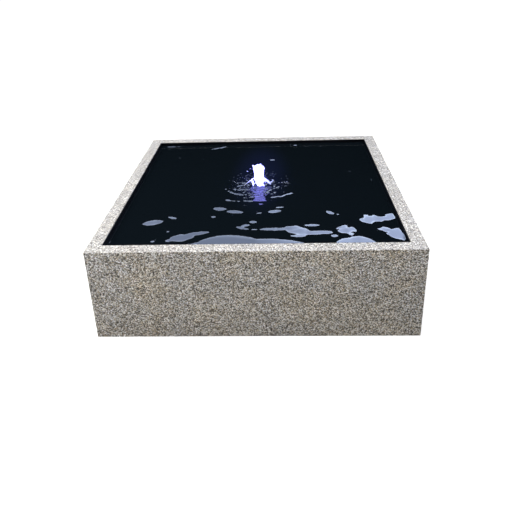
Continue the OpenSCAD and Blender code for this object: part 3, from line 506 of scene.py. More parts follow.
waterSettings = {
    "cells": 310,
    "crowding": 0.84,          # spacing of the cells round the jet, against the mean
    "depth": 5 * mm,
    "clear": 0.3 * mm,         # from the lining
    "ringLength": 34 * mm,
    "ringHeight": 1.3 * mm,
    "ringFade": 105 * mm,
    "ringPeak": 1.5,           # how much sharper the crests are than the troughs
    "ringLevel": 0.4,          # of a crest, so that the rings leave the mean level as it is
    "ringWander": 1.8,         # radians that a ring strays
    "ringStrength": (0.55, 1.3),    # its mean, and how far it varies from place to place
    "ringStart": (15 * mm, 55 * mm),
    "ringGrain": (14, 11),     # wander and strength, parts in a metre
    "broadGrain": (5, 11),     # across and along
    "fineGrain": (28, 60),
    "chopHeight": 0.16 * mm,
    "chopParts": (2.0, 0.25),  # broad and fine
    "boilGrain": (100, 190),
    "boilParts": (0.7, 0.5),
    "boilHeight": 2.6 * mm,
    "boilReach": 90 * mm,
    "boilPlace": (-12 * mm, -14 * mm),
    # the painted glow in the water round the jet
    "bloomSquash": (2.4, 0.8, 0),
    "bloomShift": (-12 * mm, -88 * mm, 0),
    "bloomReach": (350 * mm, 40 * mm),      # where the bloom begins and where it is full
    "bloomGlow": 0.019,
    "edgeBand": 6 * mm,        # along the walls the water is calmer
    "edgeCalm": 0.35,          # of its height elsewhere
    "skyTilt": 6.2,            # degrees that the water in the middle has to lean to mirror the sky
    "skyTiltBack": 10.0,       # more of it for each metre back
    "skyTiltSide": 4.0,        # more of it for each square metre to the side
    "face": 1.2,               # half width of a swell's leaning face, against its mirrored patch
    "taper": 0.6,
    "faceGrip": 20.0,          # how much harder a face keeps its lean than the water between
    "sideGrip": 0.25,
    "settle": 120 * mm,        # a swell dies away over about this
    "strokeOverlap": 0.62,     # half length of a stroke's swell, against the way between its points
    "frayEnds": (0.5, 1.4),    # how far a swell's raggedness moves its ends, and how fine it is
    "fraySides": (1.0, 0.9),
    "sweeps": 160,
    "overshoot": 1.85,         # of each step in a sweep, which settles it sooner
    "swells": (
        # mm and degrees: centre X and Y, half length, half width, turn, lift, raggedness
        (-80, -424, 95, 44, 0, 1.9, 0.05), (20, -434, 130, 30, 0, 1.9, 0.05),
        (-150, -430, 50, 14, 0, 1.8, 0.1), (303, -430, 56, 35, 0, 1.9, 0.1),
        (-229, -388, 35, 22, 9, 1.8, 0.35), (-184, -367, 38, 10, 13, 1.8, 0.3),
        (-262, -405, 15, 8, 10, 1.6, 0.6), (-315, -411, 8, 6, 0, 1.7, 0.3), (-309, -399, 5, 4, 0, 1.5, 0.3),
        (-278, -350, 7, 7, 20, 1.5, 0.2), (-340, -289, 34, 18, 15, 1.5, 0.15),
        (-280, -256, 19, 8, -24, 1.5, 0.2), (-144, -253, 10, 7, 0, 1.5, 0.3),
        (-128, -194, 24, 12, -8, 1.5, 0.15), (-76, -217, 31, 10, -8, 1.6, 0.2),
        (7, -228, 15, 4, 11, 1.4, 0.4), (59, -216, 24, 10, 11, 1.6, 0.3), (76, -188, 18, 5, 12, 1.5, 0.6),
        (-11, -293, 13, 8, 0, 1.6, 0.2), (-35, -318, 16, 6, 23, 1.9, 0.2),
        (-43, -334, 24, 6, -21, 2.0, 0.2), (-5, -344, 14, 3, 0, 1.7, 0.3), (60, -343, 52, 8, 0, 1.8, 0.4),
        (131, -354, 46, 26, -20, 1.6, 0.35), (192, -367, 36, 11, 3, 1.8, 0.3),
        (222, -366, 20, 9, -4, 1.7, 1.0), (130, -385, 26, 6, 0, 1.9, 0.3), (177, -321, 26, 6, 3, 1.9, 0.2),
        (372, -287, 35, 28, 0, 1.7, 1.0), (412, -280, 44, 13, 12, 1.9, 0.5),
        (442, -260, 26, 13, 24, 1.8, 0.4), (392, -345, 22, 7, 14, 1.2, 1.4),
        (450, -379, 42, 33, 0, 1.8, 0.1), (402, -350, 16, 4, 10, 1.4, 0.8), (409, -358, 15, 7, 0, 1.7, 0.6),
        (407, -376, 7, 6, 0, 1.6, 0.3), (286, -358, 29, 23, 16, 1.8, 0.9), (262, -342, 13, 5, 30, 1.8, 0.6),
        (242, -388, 11, 6, -10, 1.8, 0.7), (243, -235, 17, 8, -42, 1.5, 0.4),
        (267, -249, 8, 4, -40, 1.3, 0.5), (352, -333, 4, 4, 0, 1.6, 0.2), (-450, -412, 5, 14, 0, 1.6, 0.2),
        (48, 256, 13, 6, 0, 1.4, 0.2), (-395, 438, 60, 5, 0, 1.3, 0.5), (-192, 411, 62, 5, 24, 1.2, 1.1),
        (-100, 446, 22, 5, 0, 1.2, 0.5), (147, 432, 30, 5, -14, 1.2, 1.1), (404, 444, 44, 5, 0, 1.2, 0.5),
        (-345, 300, 18, 4, 10, 1.2, 0.5), (350, 118, 4, 4, 0, 1.4, 0.1), (115, -232, 3, 3, 0, 1.5, 0.1),
        (421, 37, 3, 16, 15, 1.2, 0.2), (6, -149, 56, 8, 0, 0.72, 0.1), (-24, -180, 42, 27, 0, 0.6, 0.1),
        (58, -172, 34, 20, 0, 0.65, 0.1),
    ),
    "strokes": (
        # mm: points of a broken crest, half width, lift, raggedness
        (((-126, -30), (-112, -38)), 5, 1.3, 1.0),
        (((-114, -45), (-95, -66), (-73, -79), (-55, -84), (-26, -83)), 4.6, 1.7, 0.5),
        (((-93, -34), (-72, -41), (-48, -36)), 4, 1.3, 1.4), (((-58, -62), (-40, -60)), 4, 1.3, 0.8),
        (((-59, -105), (-38, -110), (-18, -107)), 3, 1.3, 0.8),
        (((-115, -123), (-95, -131)), 6, 1.5, 0.3), (((-97, -131), (-76, -134), (-60, -138)), 4, 1.4, 0.4),
        (((-52, -134), (-34, -138), (-18, -139)), 4, 1.4, 0.6),
        (((43, -111), (57, -108), (69, -101), (82, -103), (98, -88), (122, -74)), 4, 1.8, 0.5),
        (((53, -82), (62, -60)), 3, 1.2, 0.6), (((28, -168), (38, -162)), 2.5, 1.1, 0.3),
        (((-14, -96), (8, -94)), 3, 0.9, 0.8), (((4, -112), (26, -115)), 3, 0.85, 0.8),
        (((-16, -124), (4, -127)), 3, 0.75, 0.8), (((29, -71), (41, -52)), 4, 1.4, 0.5),
        (((-76, -4), (-60, -8), (-44, -6)), 4, 1.3, 1.2), (((-76, 20), (-66, 15), (-52, 18)), 4, 1.3, 1.2),
        (((56, -12), (74, -24)), 4, 1.3, 1.2),
    ),
}


def allSwells():
    # a stroke is a chain of short swells
    s = waterSettings
    made = list(s["swells"])
    for points, halfWidth, lift, ragged in s["strokes"]:
        for (x0, y0), (x1, y1) in zip(points, points[1:]):
            length = math.hypot(x1 - x0, y1 - y0)
            turn = math.degrees(math.atan2(y1 - y0, x1 - x0))
            halfLength = s["strokeOverlap"] * length
            made.append(((x0 + x1) / 2, (y0 + y1) / 2, halfLength, halfWidth, turn, lift, ragged))
    return made


def askedLean(across, along):
    # how much each place is to lean towards the front: only the faces of the swells ask for any
    s = waterSettings
    endStray, endGrain = s["frayEnds"]
    sideStray, sideGrain = s["fraySides"]
    asked = numpy.zeros((len(along), len(across)))
    for centreX, centreY, halfLength, halfWidth, turn, lift, ragged in allSwells():
        c, sine = math.cos(math.radians(turn)), math.sin(math.radians(turn))
        reach = halfLength * 1.3 + halfWidth * 1.6  # a little past its frayed outline
        columns = [i for i, x in enumerate(across) if abs(x / mm - centreX) < reach]
        rows = [j for j, y in enumerate(along) if abs(y / mm - centreY) < reach]
        for j in rows:
            for i in columns:
                dx, dy = across[i] / mm - centreX, along[j] / mm - centreY
                u = (c * dx + sine * dy) / halfLength
                u += endStray * ragged * noise.noise(Vector((dx, dy, centreY)) * endGrain / halfWidth)
                if abs(u) >= 1:
                    continue
                v = (c * dy - sine * dx) / (halfWidth * (1 - u * u) ** s["taper"])
                v += sideStray * ragged * noise.noise(Vector((dx, dy, centreX)) * sideGrain / halfWidth)
                if abs(v) >= s["face"]:
                    continue
                tilt = s["skyTilt"] + s["skyTiltBack"] * along[j] + s["skyTiltSide"] * across[i] ** 2
                lean = math.tan(math.radians(lift * tilt)) * (1 - (abs(v) / s["face"]) ** 4)
                if abs(lean) > abs(asked[j, i]):
                    asked[j, i] = lean
    return asked


def swellHeights(across, along):
    # the heights that come nearest to the asked-for leans, with gentle falls shared out between the faces
    s = waterSettings
    asked = askedLean(across, along)
    grip = numpy.where(asked != 0, s["faceGrip"], 1.0)
    wide, deep = numpy.diff(across), numpy.diff(along)
    cellWidth = numpy.gradient(across)
    cellDepth = numpy.gradient(along)
    back = (grip[1:] + grip[:-1]) / 2 * cellWidth[None, :] / deep[:, None]
    side = s["sideGrip"] * cellDepth[:, None] / wide[None, :]
    rise = (asked[1:] + asked[:-1]) / 2 * deep[:, None]
    weight = cellDepth[:, None] * cellWidth[None, :] / s["settle"] ** 2
    weight[1:] += back
    weight[:-1] += back
    weight[:, 1:] += side
    weight[:, :-1] += side
    turns = numpy.add.outer(numpy.arange(len(along)), numpy.arange(len(across))) % 2
    heights = numpy.zeros_like(asked)
    for _ in range(s["sweeps"]):
        for colour in (0, 1):
            pull = numpy.zeros_like(heights)
            pull[:-1] += back * (heights[1:] - rise)
            pull[1:] += back * (heights[:-1] + rise)
            pull[:, :-1] += side * heights[:, 1:]
            pull[:, 1:] += side * heights[:, :-1]
            heights += numpy.where(turns == colour, s["overshoot"] * (pull / weight - heights), 0.0)
    return heights


def grained(x, y, layer, across, along):
    return noise.noise(Vector((x * across, y * along, layer)))


def ringHeight(x, y):
    s = waterSettings
    r = math.hypot(x, y)
    wander, patch = s["ringGrain"]
    phase = r / s["ringLength"] * 2 * math.pi + s["ringWander"] * grained(x, y, 3.0, wander, wander)
    mean, spread = s["ringStrength"]
    strength = max(0.0, mean + spread * grained(x, y, 8.0, patch, patch))
    start, full = s["ringStart"]
    near = min(1.0, max(0.0, (r - start) / (full - start)))
    crest = math.exp(s["ringPeak"] * (math.cos(phase) - 1)) - s["ringLevel"]
    return s["ringHeight"] * near * strength * math.exp(-r / s["ringFade"]) * crest


def chopHeight(x, y):
    s = waterSettings
    broad, fine = s["chopParts"]
    chop = broad * grained(x, y, 1.0, *s["broadGrain"]) + fine * grained(x, y, 5.0, *s["fineGrain"])
    boil = sum(part * grained(x, y, layer, grain, grain)
               for part, grain, layer in zip(s["boilParts"], s["boilGrain"], (2.0, 4.0)))
    fromX, fromY = x - s["boilPlace"][0], y - s["boilPlace"][1]
    near = math.exp(-((fromX ** 2 + fromY ** 2) / s["boilReach"] ** 2) ** 2)
    return s["chopHeight"] * chop + s["boilHeight"] * boil * near


def wayFromJet(tree, place, squash=(1, 1, 0), shift=(0, 0, 0)):
    flat = addNode(tree, "VectorMath", {"operation": "MULTIPLY_ADD", 1: squash, 2: shift}, {0: place})
    return addNode(tree, "VectorMath", {"operation": "LENGTH"}, {0: flat.outputs[0]}).outputs["Value"]


def pondWater():
    # Still water over a black lining: almost black in its depth, a clear mirror at its skin, with a painted
    # violet glow in its skin where the light ring shines up round the jet
    s = waterSettings
    material, tree, shader, place = newMaterial("pondWater", {
        "Base Color": toLinear("#0d141a"), "Roughness": 0.012, "IOR": 1.333,
        "Emission Color": toLinear("#6472ff")})
    # painted glow: the skin emits violet light round the jet, stretched front to back, standing in for the
    # ring's light and the jet's mirror image
    reach = wayFromJet(tree, place, s["bloomSquash"], s["bloomShift"])
    none, full = s["bloomReach"]
    bloom = addNode(tree, "MapRange", {"interpolation_type": "SMOOTHERSTEP", "From Min": none,
                                       "From Max": full, "To Max": s["bloomGlow"]}, {"Value": reach})
    stretch = addNode(tree, "Mapping", {"Scale": (60, 260, 60)}, {"Vector": place})
    wrinkle = addNode(tree, "TexNoise", {"Scale": 1.0}, {"Vector": stretch.outputs[0]})
    bump = addNode(tree, "Bump", {"Distance": 0.04 * mm}, {"Height": wrinkle.outputs[0]})
    return feed(material, shader, {"Emission Strength": bloom.outputs[0], "Normal": bump.outputs[0]})


def makePool():
    s = waterSettings
    half = waterWidth / 2 - s["clear"]
    cells = s["cells"]
    bm = bmesh.new()
    bmesh.ops.create_grid(bm, x_segments=cells, y_segments=cells, size=half,
                          matrix=Matrix.Translation((0, 0, waterLevel)))
    even = [half * (2 * i / cells - 1) for i in range(cells + 1)]
    lines = numpy.array([a * (s["crowding"] + (1 - s["crowding"]) * (a / half) ** 2) for a in even])
    heights = swellHeights(lines, lines)
    print("swells settled")
    for v in bm.verts:
        i, j = (round((a / half + 1) / 2 * cells) for a in v.co.xy)
        v.co.x, v.co.y = lines[i], lines[j]
        edge = min(1.0, (half - max(abs(v.co.x), abs(v.co.y))) / s["edgeBand"])
        rise = heights[j, i] + ringHeight(v.co.x, v.co.y) + chopHeight(v.co.x, v.co.y)
        v.co.z += rise * (s["edgeCalm"] + (1 - s["edgeCalm"]) * edge)
    border = [e for e in bm.edges if e.is_boundary]
    made = bmesh.ops.extrude_edge_only(bm, edges=border)["geom"]
    for part in made:
        if isinstance(part, bmesh.types.BMVert):
            part.co.z = waterLevel - s["depth"]
    loop = [part for part in made if isinstance(part, bmesh.types.BMEdge)]
    bmesh.ops.contextual_create(bm, geom=loop)
    bmesh.ops.recalc_face_normals(bm, faces=bm.faces)
    pool = newPiece("pool_surface", bm, [pondWater()])
    pool.data.set_sharp_from_angle(angle=math.radians(50))
    seat(pool, "basin", "water", "pool_water")
    print("pool surface made,", len(pool.data.polygons), "faces")


# Jet: a frothy column with a ragged crown, falling tongues at its foot and drops round it

jetSettings = {
    "seed": 7,
    "foot": nozzleTop + 0.4 * mm,
    "lean": (4 * mm, 0.6 * mm),   # the column's axis at its foot and at its top
    "radius": 17.6 * mm,
    "height": 66 * mm,         # of the full column, above the water
    "ropes": 210,
    "ropeRun": (0.55, 0.38, 0.1),   # of the radius: at the foot, gained at once, gained towards the top
    "ropeOut": (0.6, 0.7),     # of its width there: how far out a rope stands, from and to
    "ropeThick": (0.28, 0.4),
    "ropeStretch": (1.4, 2.6),
    "coreSteps": 14,
    "coreRun": (0.4, 0.26),
    "spread": 2.6,             # the column is full from 1 / this of its height
    "tongueSteps": 30,
    "tongueStart": 0.8,        # of the radius
    "tongueFall": 1.3,         # above 1 it falls late
    "tongueSwing": (0.1, 3.0), # radians: how far it wanders, and how fast
    "tongueThin": 0.35,        # of its thickness lost at its end
    "tongueLumps": (0.85, 1.15),
    "voxel": 1.1 * mm,
    "ripple": 1.1 * mm,        # of the fused skin
    "rippleGrain": (260, 260, 120),
    "crown": (
        # mm: X, Y, height above the water, radius, stretch
        (-12, 0, 66, 8, 1.2), (-15, -1, 72, 5, 1.3), (-18, -1, 77.5, 2.8, 1.3), (-20.5, -1, 80.5, 1.8, 1.2),
        (-3, -2, 68, 9, 1.1), (3, -2, 71, 9, 1.2), (6, -1, 77, 6, 1.2), (6.5, -1, 83, 2.8, 1.3),
        (12, 2, 69, 8, 1.1), (18, 1, 67, 5, 1.1), (22, 1, 68.5, 2.2, 1.0), (4, 13, 66, 8, 1.2),
        (8, 16, 73, 4, 1.3), (-6, 12, 69, 7, 1.2), (-5, -12, 66, 7, 1.2), (-9, -15, 71, 3.5, 1.4),
        (9, -13, 65, 6, 1.1), (13, -15, 69, 3, 1.3),
    ),
    "tongues": (
        # degrees and mm: direction, height where it leaves and where it ends, reach, thickness
        (178, 30, -10, 66, 1.7), (-172, 10, -9, 28, 1.6), (-3, 27, 6, 43, 4.6), (40, 22, -9, 40, 2.2),
        (88, 28, -9, 40, 2.2), (132, 24, -9, 38, 1.8), (-30, 9, -9, 27, 2.4),
    ),
    "scraps": (
        # mm: X, Y, height above the water, radius, stretch
        (-30, 0, 18, 2.2, 0.8), (-23, -2, 14, 4.0, 1.2), (-21, -4, 6, 3.4, 1.2), (-26, 2, 20, 2.4, 1.0),
        (46, -2, 13, 3.2, 1.0), (50, 0, 15, 2.6, 1.0), (53, 1, 19, 2.8, 1.0), (52, 2, 12, 1.6, 1.0),
        (56, 1, 15, 1.8, 1.0), (49, 0, 21, 1.4, 0.8),
        (-29, 2, 66, 1.6, 0.6), (-33, 2, 65, 1.5, 0.6), (-37, 2, 65, 1.0, 0.6), (-38, 0, 56, 1.6, 0.7),
        (-42, 0, 57, 2.0, 0.7), (-47, 0, 58, 1.0, 0.7), (-91, 4, 14, 1.3, 1.0), (-87, 4, 11, 1.5, 1.0),
        (-82, 4, 7, 1.4, 1.2), (-78, 4, 4, 1.0, 1.0), (63, 4, 5, 1.0, 0.6), (68, 4, 6, 1.2, 0.6),
        (74, 4, 7, 1.1, 0.6), (79, 4, 7, 1.0, 0.6), (86, 6, 7, 1.7, 0.9), (91, 6, 4, 1.4, 0.8),
        (95, 6, 8, 1.6, 0.9), (100, 6, 5, 1.5, 1.0), (104, 6, 9, 2.2, 1.1), (108, 6, 4, 2.0, 1.0),
        (113, 6, 3, 1.2, 0.7), (118, 6, 4, 1.2, 0.7),
    ),
    "drops": 190,
    "dropReach": (26 * mm, 121 * mm),
    "dropCrowding": 1.3,       # above 1 they gather near the jet
    "dropCeiling": (62 * mm, 140 * mm),     # its height at the axis, and where it comes down to the water
    "dropClear": 2 * mm,       # over the water
    "dropSize": (0.6 * mm, 1.5 * mm),
    "dropStretch": (0.8, 1.8),
}


def litFroth():
    # Aerated water lit from inside by a cool ring light: its core glows past white, and the violet of the
    # light shows in its thin edges and in the mirror below it
    material, tree, shader, place = newMaterial("litFroth", {
        "Base Color": toLinear("#c3cfee"), "Roughness": 0.25, "IOR": 1.333})
    reach = wayFromJet(tree, place)
    away = addNode(tree, "MapRange", {"From Min": 36 * mm, "From Max": 60 * mm}, {"Value": reach})
    tint = addNode(tree, "Mix", {"data_type": "RGBA", 6: (0.25, 0.25, 1.0, 1.0), 7: (0.5, 0.58, 0.8, 1.0)},
                   {0: away.outputs[0]})
    # painted glow: the froth emits its own light, past white at its core and fading away from the axis,
    # standing in for the ring's light scattered in it
    core, far = (
        addNode(tree, "MapRange", {"interpolation_type": "SMOOTHSTEP", "From Min": start * mm,
                                   "From Max": end * mm, "To Min": inner, "To Max": outer}, {"Value": reach})
        for start, end, inner, outer in ((19, 34, 6.0, 3.0), (32, 48, 1.0, 0.07)))
    fading = addNode(tree, "Math", {"operation": "MULTIPLY"}, {0: core.outputs[0], 1: far.outputs[0]})
    stretch = addNode(tree, "Mapping", {"Scale": (260, 260, 70)}, {"Vector": place})
    streak = addNode(tree, "TexNoise", {"Scale": 1.0, "Detail": 3.0}, {"Vector": stretch.outputs[0]})
    streaked = addNode(tree, "MapRange", {"From Min": 0.34, "From Max": 0.5, "To Min": 0.55, "To Max": 1.1},
                       {"Value": streak.outputs[0]})
    glow = addNode(tree, "Math", {"operation": "MULTIPLY"}, {0: fading.outputs[0], 1: streaked.outputs[0]})
    bubbles = addNode(tree, "TexVoronoi", {"Scale": 1000 / 2.5}, {"Vector": place})
    bump = addNode(tree, "Bump", {"Strength": 0.6, "Distance": 0.6 * mm},
                   {"Height": bubbles.outputs["Distance"]})
    return feed(material, shader, {"Emission Color": tint.outputs[2], "Emission Strength": glow.outputs[0],
                                   "Normal": bump.outputs[0]})


def thrownWater():
    # Clear drops thrown off the jet: glossy and grey, with a little of its light in the nearest ones
    material, tree, shader, place = newMaterial("thrownWater", {
        "Base Color": toLinear("#5c6478"), "Roughness": 0.05, "IOR": 1.333,
        "Emission Color": toLinear("#aab4ff")})
    # painted glow: the drops nearest the jet emit a little light, fading with distance from it
    reach = wayFromJet(tree, place)
    glow = addNode(tree, "MapRange", {"From Min": 25 * mm, "From Max": 70 * mm, "To Min": 0.2, "To Max": 0.0},
                   {"Value": reach})
    return feed(material, shader, {"Emission Strength": glow.outputs[0]})


def lump(bm, place, radius, stretch=1.0, detail=2):
    size = Matrix.Diagonal((1, 1, stretch, 1))
    bmesh.ops.create_icosphere(bm, subdivisions=detail, radius=radius,
                               matrix=Matrix.Translation(place) @ size)


def makeJet():
    s = jetSettings
    draw = random.Random(s["seed"])
    bm = bmesh.new()
    golden = math.pi * (3 - math.sqrt(5))
    top = waterLevel + s["height"]
    footX, topX = s["lean"]
    slim, gained, later = s["ropeRun"]
    for i in range(s["ropes"]):
        t = i / (s["ropes"] - 1)
        width = s["radius"] * (slim + gained * min(1, t * s["spread"]) + later * t)
        out = width * draw.uniform(*s["ropeOut"])
        place = (footX + (topX - footX) * t + out * math.cos(i * golden), out * math.sin(i * golden),
                 s["foot"] + t * (top - s["foot"]))
        lump(bm, place, width * draw.uniform(*s["ropeThick"]), draw.uniform(*s["ropeStretch"]))
    slim, gained = s["coreRun"]
    for i in range(s["coreSteps"]):
        t = (i + 0.5) / s["coreSteps"]
        width = s["radius"] * (slim + gained * min(1, t * s["spread"]))
        lump(bm, (footX + (topX - footX) * t, 0, s["foot"] + t * (top - s["foot"])), width, 1.2)
    for x, y, z, radius, stretch in s["crown"] + s["scraps"]:
        lump(bm, (x * mm, y * mm, waterLevel + z * mm), radius * mm, stretch)
    inner = s["radius"] * s["tongueStart"]
    swing, pace = s["tongueSwing"]
    for degrees, start, end, reach, thick in s["tongues"]:
        a = math.radians(degrees)
        for i in range(s["tongueSteps"] + 1):
            t = i / s["tongueSteps"]
            out = inner + (reach * mm - inner) * t
            z = waterLevel + (start + (end - start) * t ** s["tongueFall"]) * mm
            way = a + swing * math.sin(t * pace)
            wide = thick * mm * (1 - s["tongueThin"] * t) * draw.uniform(*s["tongueLumps"])
            lump(bm, (out * math.cos(way), out * math.sin(way), z), wide, 1.2)
    bmesh.ops.bisect_plane(bm, geom=bm.verts[:] + bm.edges[:] + bm.faces[:], plane_co=(0, 0, s["foot"]),
                           plane_no=(0, 0, 1))
    jet = newPiece("frothy_jet", bm, [litFroth()])
    fuse = jet.modifiers.new("fuse", "REMESH")
    fuse.mode = "VOXEL"
    fuse.voxel_size = s["voxel"]
    bakeModifiers(jet)
    bm = bmesh.new()
    bm.from_mesh(jet.data)
    for _ in range(2):
        bmesh.ops.smooth_vert(bm, verts=bm.verts, factor=0.5, use_axis_x=True, use_axis_y=True,
                              use_axis_z=True)
    bm.normal_update()
    for v in bm.verts:
        v.co += v.normal * s["ripple"] * noise.noise(v.co * Vector(s["rippleGrain"]))
    fill(jet.data, bm)
    seat(jet, "nozzle_group", "lit_water", "water_jet")
    print("jet made,", len(jet.data.polygons), "faces")


def makeDrops():
    s = jetSettings
    draw = random.Random(s["seed"] + 1)
    bm = bmesh.new()
    near, far = s["dropReach"]
    top, edge = s["dropCeiling"]
    for _ in range(s["drops"]):
        a = draw.uniform(0, 2 * math.pi)
        r = near + (far - near) * draw.random() ** s["dropCrowding"]
        ceiling = max(0.0, top * (1 - r / edge))
        z = waterLevel + s["dropClear"] + ceiling * draw.random()
        lump(bm, (r * math.cos(a), r * math.sin(a), z), draw.uniform(*s["dropSize"]),
             draw.uniform(*s["dropStretch"]), 1)
    seat(newPiece("thrown_drops", bm, [thrownWater()]), "nozzle_group", "lit_water")
    print("drops made")


# Leads, pump, fittings and light: the construction's own solids, each in its real finish

def moulded(name, colour, roughness, texture, relief):
    # Injection-moulded plastic: one even colour, with the fine spark-eroded texture of its mould
    material, tree, shader, place = newMaterial(name)
    grain = addNode(tree, "TexNoise", {"Scale": 1000 / texture}, {"Vector": place})
    base = toLinear(colour)
    lighter = tuple(min(1, c * 1.25 + 0.004) for c in base[:3]) + (1,)
    tone = addNode(tree, "Mix", {"data_type": "RGBA", 6: base, 7: lighter}, {0: grain.outputs[0]})
    handled = addNode(tree, "TexNoise", {"Scale": 1000 / 18, "Detail": 3.0}, {"Vector": place})
    rough = addNode(tree, "MapRange", {"To Min": roughness - 0.08, "To Max": roughness + 0.08},
                    {"Value": handled.outputs[0]})
    bump = addNode(tree, "Bump", {"Strength": 0.6, "Distance": relief * mm}, {"Height": grain.outputs[0]})
    return feed(material, shader, {"Base Color": tone.outputs[2], "Roughness": rough.outputs[0],
                                   "Normal": bump.outputs[0]})


def rubberSheet():
    # Welded pond liner of black rubber: a dull, slightly wavy skin with a fine calendered grain
    material, tree, shader, place = newMaterial("weldedRubberLiner", {
        "Roughness": 0.6, "Specular IOR Level": 0.05})
    waves = addNode(tree, "TexNoise", {"Scale": 1000 / 35}, {"Vector": place})
    tone = addNode(tree, "Mix", {"data_type": "RGBA", 6: toLinear("#020203"), 7: toLinear("#050507")},
                   {0: waves.outputs[0]})
    grain = addNode(tree, "TexNoise", {"Scale": 1000 / 1.2}, {"Vector": place})
    fine = addNode(tree, "Bump", {"Strength": 0.3, "Distance": 0.1 * mm}, {"Height": grain.outputs[0]})
    bump = addNode(tree, "Bump", {"Strength": 0.5, "Distance": 0.8 * mm},
                   {"Height": waves.outputs[0], "Normal": fine.outputs[0]})
    return feed(material, shader, {"Base Color": tone.outputs[2], "Normal": bump.outputs[0]})


def turnedStainless():
    # Turned stainless steel: bright and cool, with fine tool lines across the axis
    material, tree, shader, place = newMaterial("turnedStainless", {
        "Base Color": toLinear("#c9cbcd"), "Metallic": 1.0})
    lines = addNode(tree, "Mapping", {"Scale": (300, 4000, 4000)}, {"Vector": place})
    cut = addNode(tree, "TexNoise", {"Scale": 1.0}, {"Vector": lines.outputs[0]})
    rough = addNode(tree, "MapRange", {"To Min": 0.18, "To Max": 0.38}, {"Value": cut.outputs[0]})
    bump = addNode(tree, "Bump", {"Strength": 0.3, "Distance": 0.05 * mm}, {"Height": cut.outputs[0]})
    return feed(material, shader, {"Roughness": rough.outputs[0], "Normal": bump.outputs[0]})


def banded(name, uniform, colours, spacing, direction, wobble, strength, relief):
    # Sheets in a stack or turns of wire: the edge of each one shows, with a darker gap beside it
    material, tree, shader, place = newMaterial(name, uniform)
    bands = addNode(tree, "TexWave", {"Scale": 1000 / spacing / 20, "bands_direction": direction,
                                      "Distortion": wobble}, {"Vector": place})
    tone = addNode(tree, "Mix", {"data_type": "RGBA", 6: toLinear(colours[0]), 7: toLinear(colours[1])},
                   {0: bands.outputs["Fac"]})
    bump = addNode(tree, "Bump", {"Strength": strength, "Distance": relief * mm},
                   {"Height": bands.outputs["Fac"]})
    return feed(material, shader, {"Base Color": tone.outputs[2], "Normal": bump.outputs[0]})


def speckled(name, colours, roughness, metallic, speck):
    # Pressed and fired powder, such as ceramic or ferrite: fine specks in an even body
    material, tree, shader, place = newMaterial(name, {"Roughness": roughness, "Metallic": metallic})
    specks = addNode(tree, "TexVoronoi", {"Scale": 1000 / speck}, {"Vector": place})
    split = addNode(tree, "SeparateColor", None, {"Color": specks.outputs["Color"]})
    tone = addNode(tree, "Mix", {"data_type": "RGBA", 6: toLinear(colours[0]), 7: toLinear(colours[1])},
                   {0: split.outputs[0]})
    bump = addNode(tree, "Bump", {"Strength": 0.2, "Distance": 0.1 * mm}, {"Height": split.outputs[0]})
    return feed(material, shader, {"Base Color": tone.outputs[2], "Normal": bump.outputs[0]})


def printedBoard():
    # Printed circuit board: green solder mask, glossy, over slightly raised copper tracks
    material, tree, shader, place = newMaterial("printedCircuitBoard", {"Roughness": 0.3})
    tracks = addNode(tree, "TexVoronoi", {"Scale": 1000 / 7, "distance": "MANHATTAN"}, {"Vector": place})
    edge = addNode(tree, "MapRange", {"From Min": 0.3, "From Max": 0.33},
                   {"Value": tracks.outputs["Distance"]})
    tone = addNode(tree, "Mix", {"data_type": "RGBA", 6: toLinear("#1f6b3c"), 7: toLinear("#15502c")},
                   {0: edge.outputs[0]})
    bump = addNode(tree, "Bump", {"Strength": 0.4, "Distance": 0.05 * mm, "invert": True},
                   {"Height": edge.outputs[0]})
    return feed(material, shader, {"Base Color": tone.outputs[2], "Normal": bump.outputs[0]})


def litPhosphor():
    # Phosphor-coated light-emitting diodes, lit: a yellow coat that shines cool white
    material, tree, shader, place = newMaterial("litPhosphor", {
        "Base Color": toLinear("#f2e6a8"), "Roughness": 0.35, "Emission Color": toLinear("#c4ccff")})
    grains = addNode(tree, "TexNoise", {"Scale": 1000 / 0.5}, {"Vector": place})
    glow = addNode(tree, "MapRange", {"To Min": 3.0, "To Max": 5.0}, {"Value": grains.outputs[0]})
    return feed(material, shader, {"Emission Strength": glow.outputs[0]})


def clearLens():
    # Clear moulded polycarbonate: a polished face over the lamps, faintly blue, with light flow marks
    material, tree, shader, place = newMaterial("clearPolycarbonate", {
        "Base Color": toLinear("#e6f0f8"), "Transmission Weight": 0.92, "IOR": 1.58})
    flow = addNode(tree, "TexNoise", {"Scale": 1000 / 6}, {"Vector": place})
    rough = addNode(tree, "MapRange", {"To Min": 0.03, "To Max": 0.12}, {"Value": flow.outputs[0]})
    bump = addNode(tree, "Bump", {"Strength": 0.2, "Distance": 0.1 * mm}, {"Height": flow.outputs[0]})
    return feed(material, shader, {"Roughness": rough.outputs[0], "Normal": bump.outputs[0]})


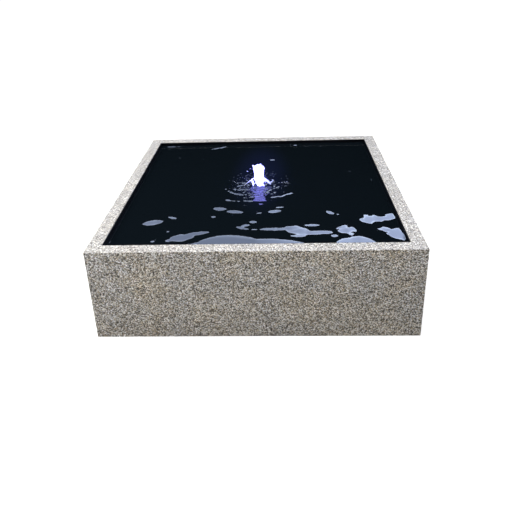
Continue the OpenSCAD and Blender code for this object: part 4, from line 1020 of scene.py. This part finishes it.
def finishNodes():
    # each node comes with a plain material named after its slot
    finishes = {
        "lining": rubberSheet(),
        "black_fitting": moulded("mouldedBlackNylon", "#16181a", 0.42, 0.9, 0.12),
        "grey_clip": moulded("mouldedGreyNylon", "#52565a", 0.5, 0.9, 0.12),
        "rubber": moulded("mouldedNitrileRubber", "#0f0f10", 0.68, 1.4, 0.1),
        "stainless": turnedStainless(),
        "lead_sheath": moulded("extrudedRubberSheath", "#0c0d0f", 0.5, 2.0, 0.1),
        "pump_shell": moulded("mouldedBlackPolypropylene", "#15181a", 0.48, 1.1, 0.18),
        # punched electrical sheet, stacked: dull oxide grey
        "laminated_steel": banded("stackedElectricalSteel", {"Metallic": 0.85, "Roughness": 0.5},
                                  ("#55585c", "#8b8e92"), 0.8, "Y", 0.3, 0.5, 0.2),
        # enamelled copper wire, wound: warm amber-red turns
        "enamelled_wire": banded("enamelledCopperTurns", {"Metallic": 0.9, "Roughness": 0.28},
                                 ("#4a1f0c", "#c06a34"), 0.9, "Z", 0.0, 0.8, 0.4),
        "resin": moulded("pouredEpoxyResin", "#0b0c0f", 0.16, 9.0, 0.3),
        "white_ceramic": speckled("firedAluminaCeramic", ("#ded9cf", "#f1eee6"), 0.28, 0.0, 0.3),
        "ferrite": speckled("sinteredFerrite", ("#26282b", "#3c3f42"), 0.55, 0.25, 0.3),
        "white_plastic": moulded("mouldedWhiteAcetal", "#dcdedf", 0.34, 0.8, 0.06),
        "red_dial": moulded("mouldedRedPlastic", "#b83226", 0.38, 0.9, 0.1),
        "light_shell": moulded("powderCoatedAluminium", "#6d7074", 0.55, 0.5, 0.08),
        "circuit_board": printedBoard(),
        "emitter": litPhosphor(),
        "lens": clearLens(),
    }
    for node in frame["nodes"].values():
        for place in node.material_slots:
            if place.material.name in finishes:
                place.material = finishes[place.material.name]
    print("nodes finished,", len(finishes), "materials")
    return finishes


leadSettings = {
    "still": (5 * mm, 112 * mm, 190 * mm),      # a point on the lead, lower down
    "moving": (5 * mm, 60 * mm, 265 * mm),      # a point on the lead, at the light
    "weld": 0.01 * mm,
}


def makeLightLead(finishes):
    s = leadSettings
    lead = frame["nodes"]["light_lead"].copy()
    lead.data = lead.data.copy()
    lead.name = "light_lead_sheath"
    lead.parent = None
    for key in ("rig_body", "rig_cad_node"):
        if key in lead:
            del lead[key]
    scene.collection.objects.link(lead)
    bm = bmesh.new()
    bm.from_mesh(lead.data)
    bmesh.ops.remove_doubles(bm, verts=bm.verts, dist=s["weld"])
    bmesh.ops.recalc_face_normals(bm, faces=bm.faces)
    fill(lead.data, bm)
    lead.data.materials.clear()
    lead.data.materials.append(finishes["lead_sheath"])
    lead.data.set_sharp_from_angle(angle=math.radians(50))
    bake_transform(lead)
    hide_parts("light_lead")
    print("light lead made")


makeCamera()
makeFloor()
makeWorld()
makeSurround()
makeLamps()
scene.view_settings.view_transform = "Standard"
print("stage set")
makeShell()
makePool()
makeJet()
makeDrops()
makeLightLead(finishNodes())
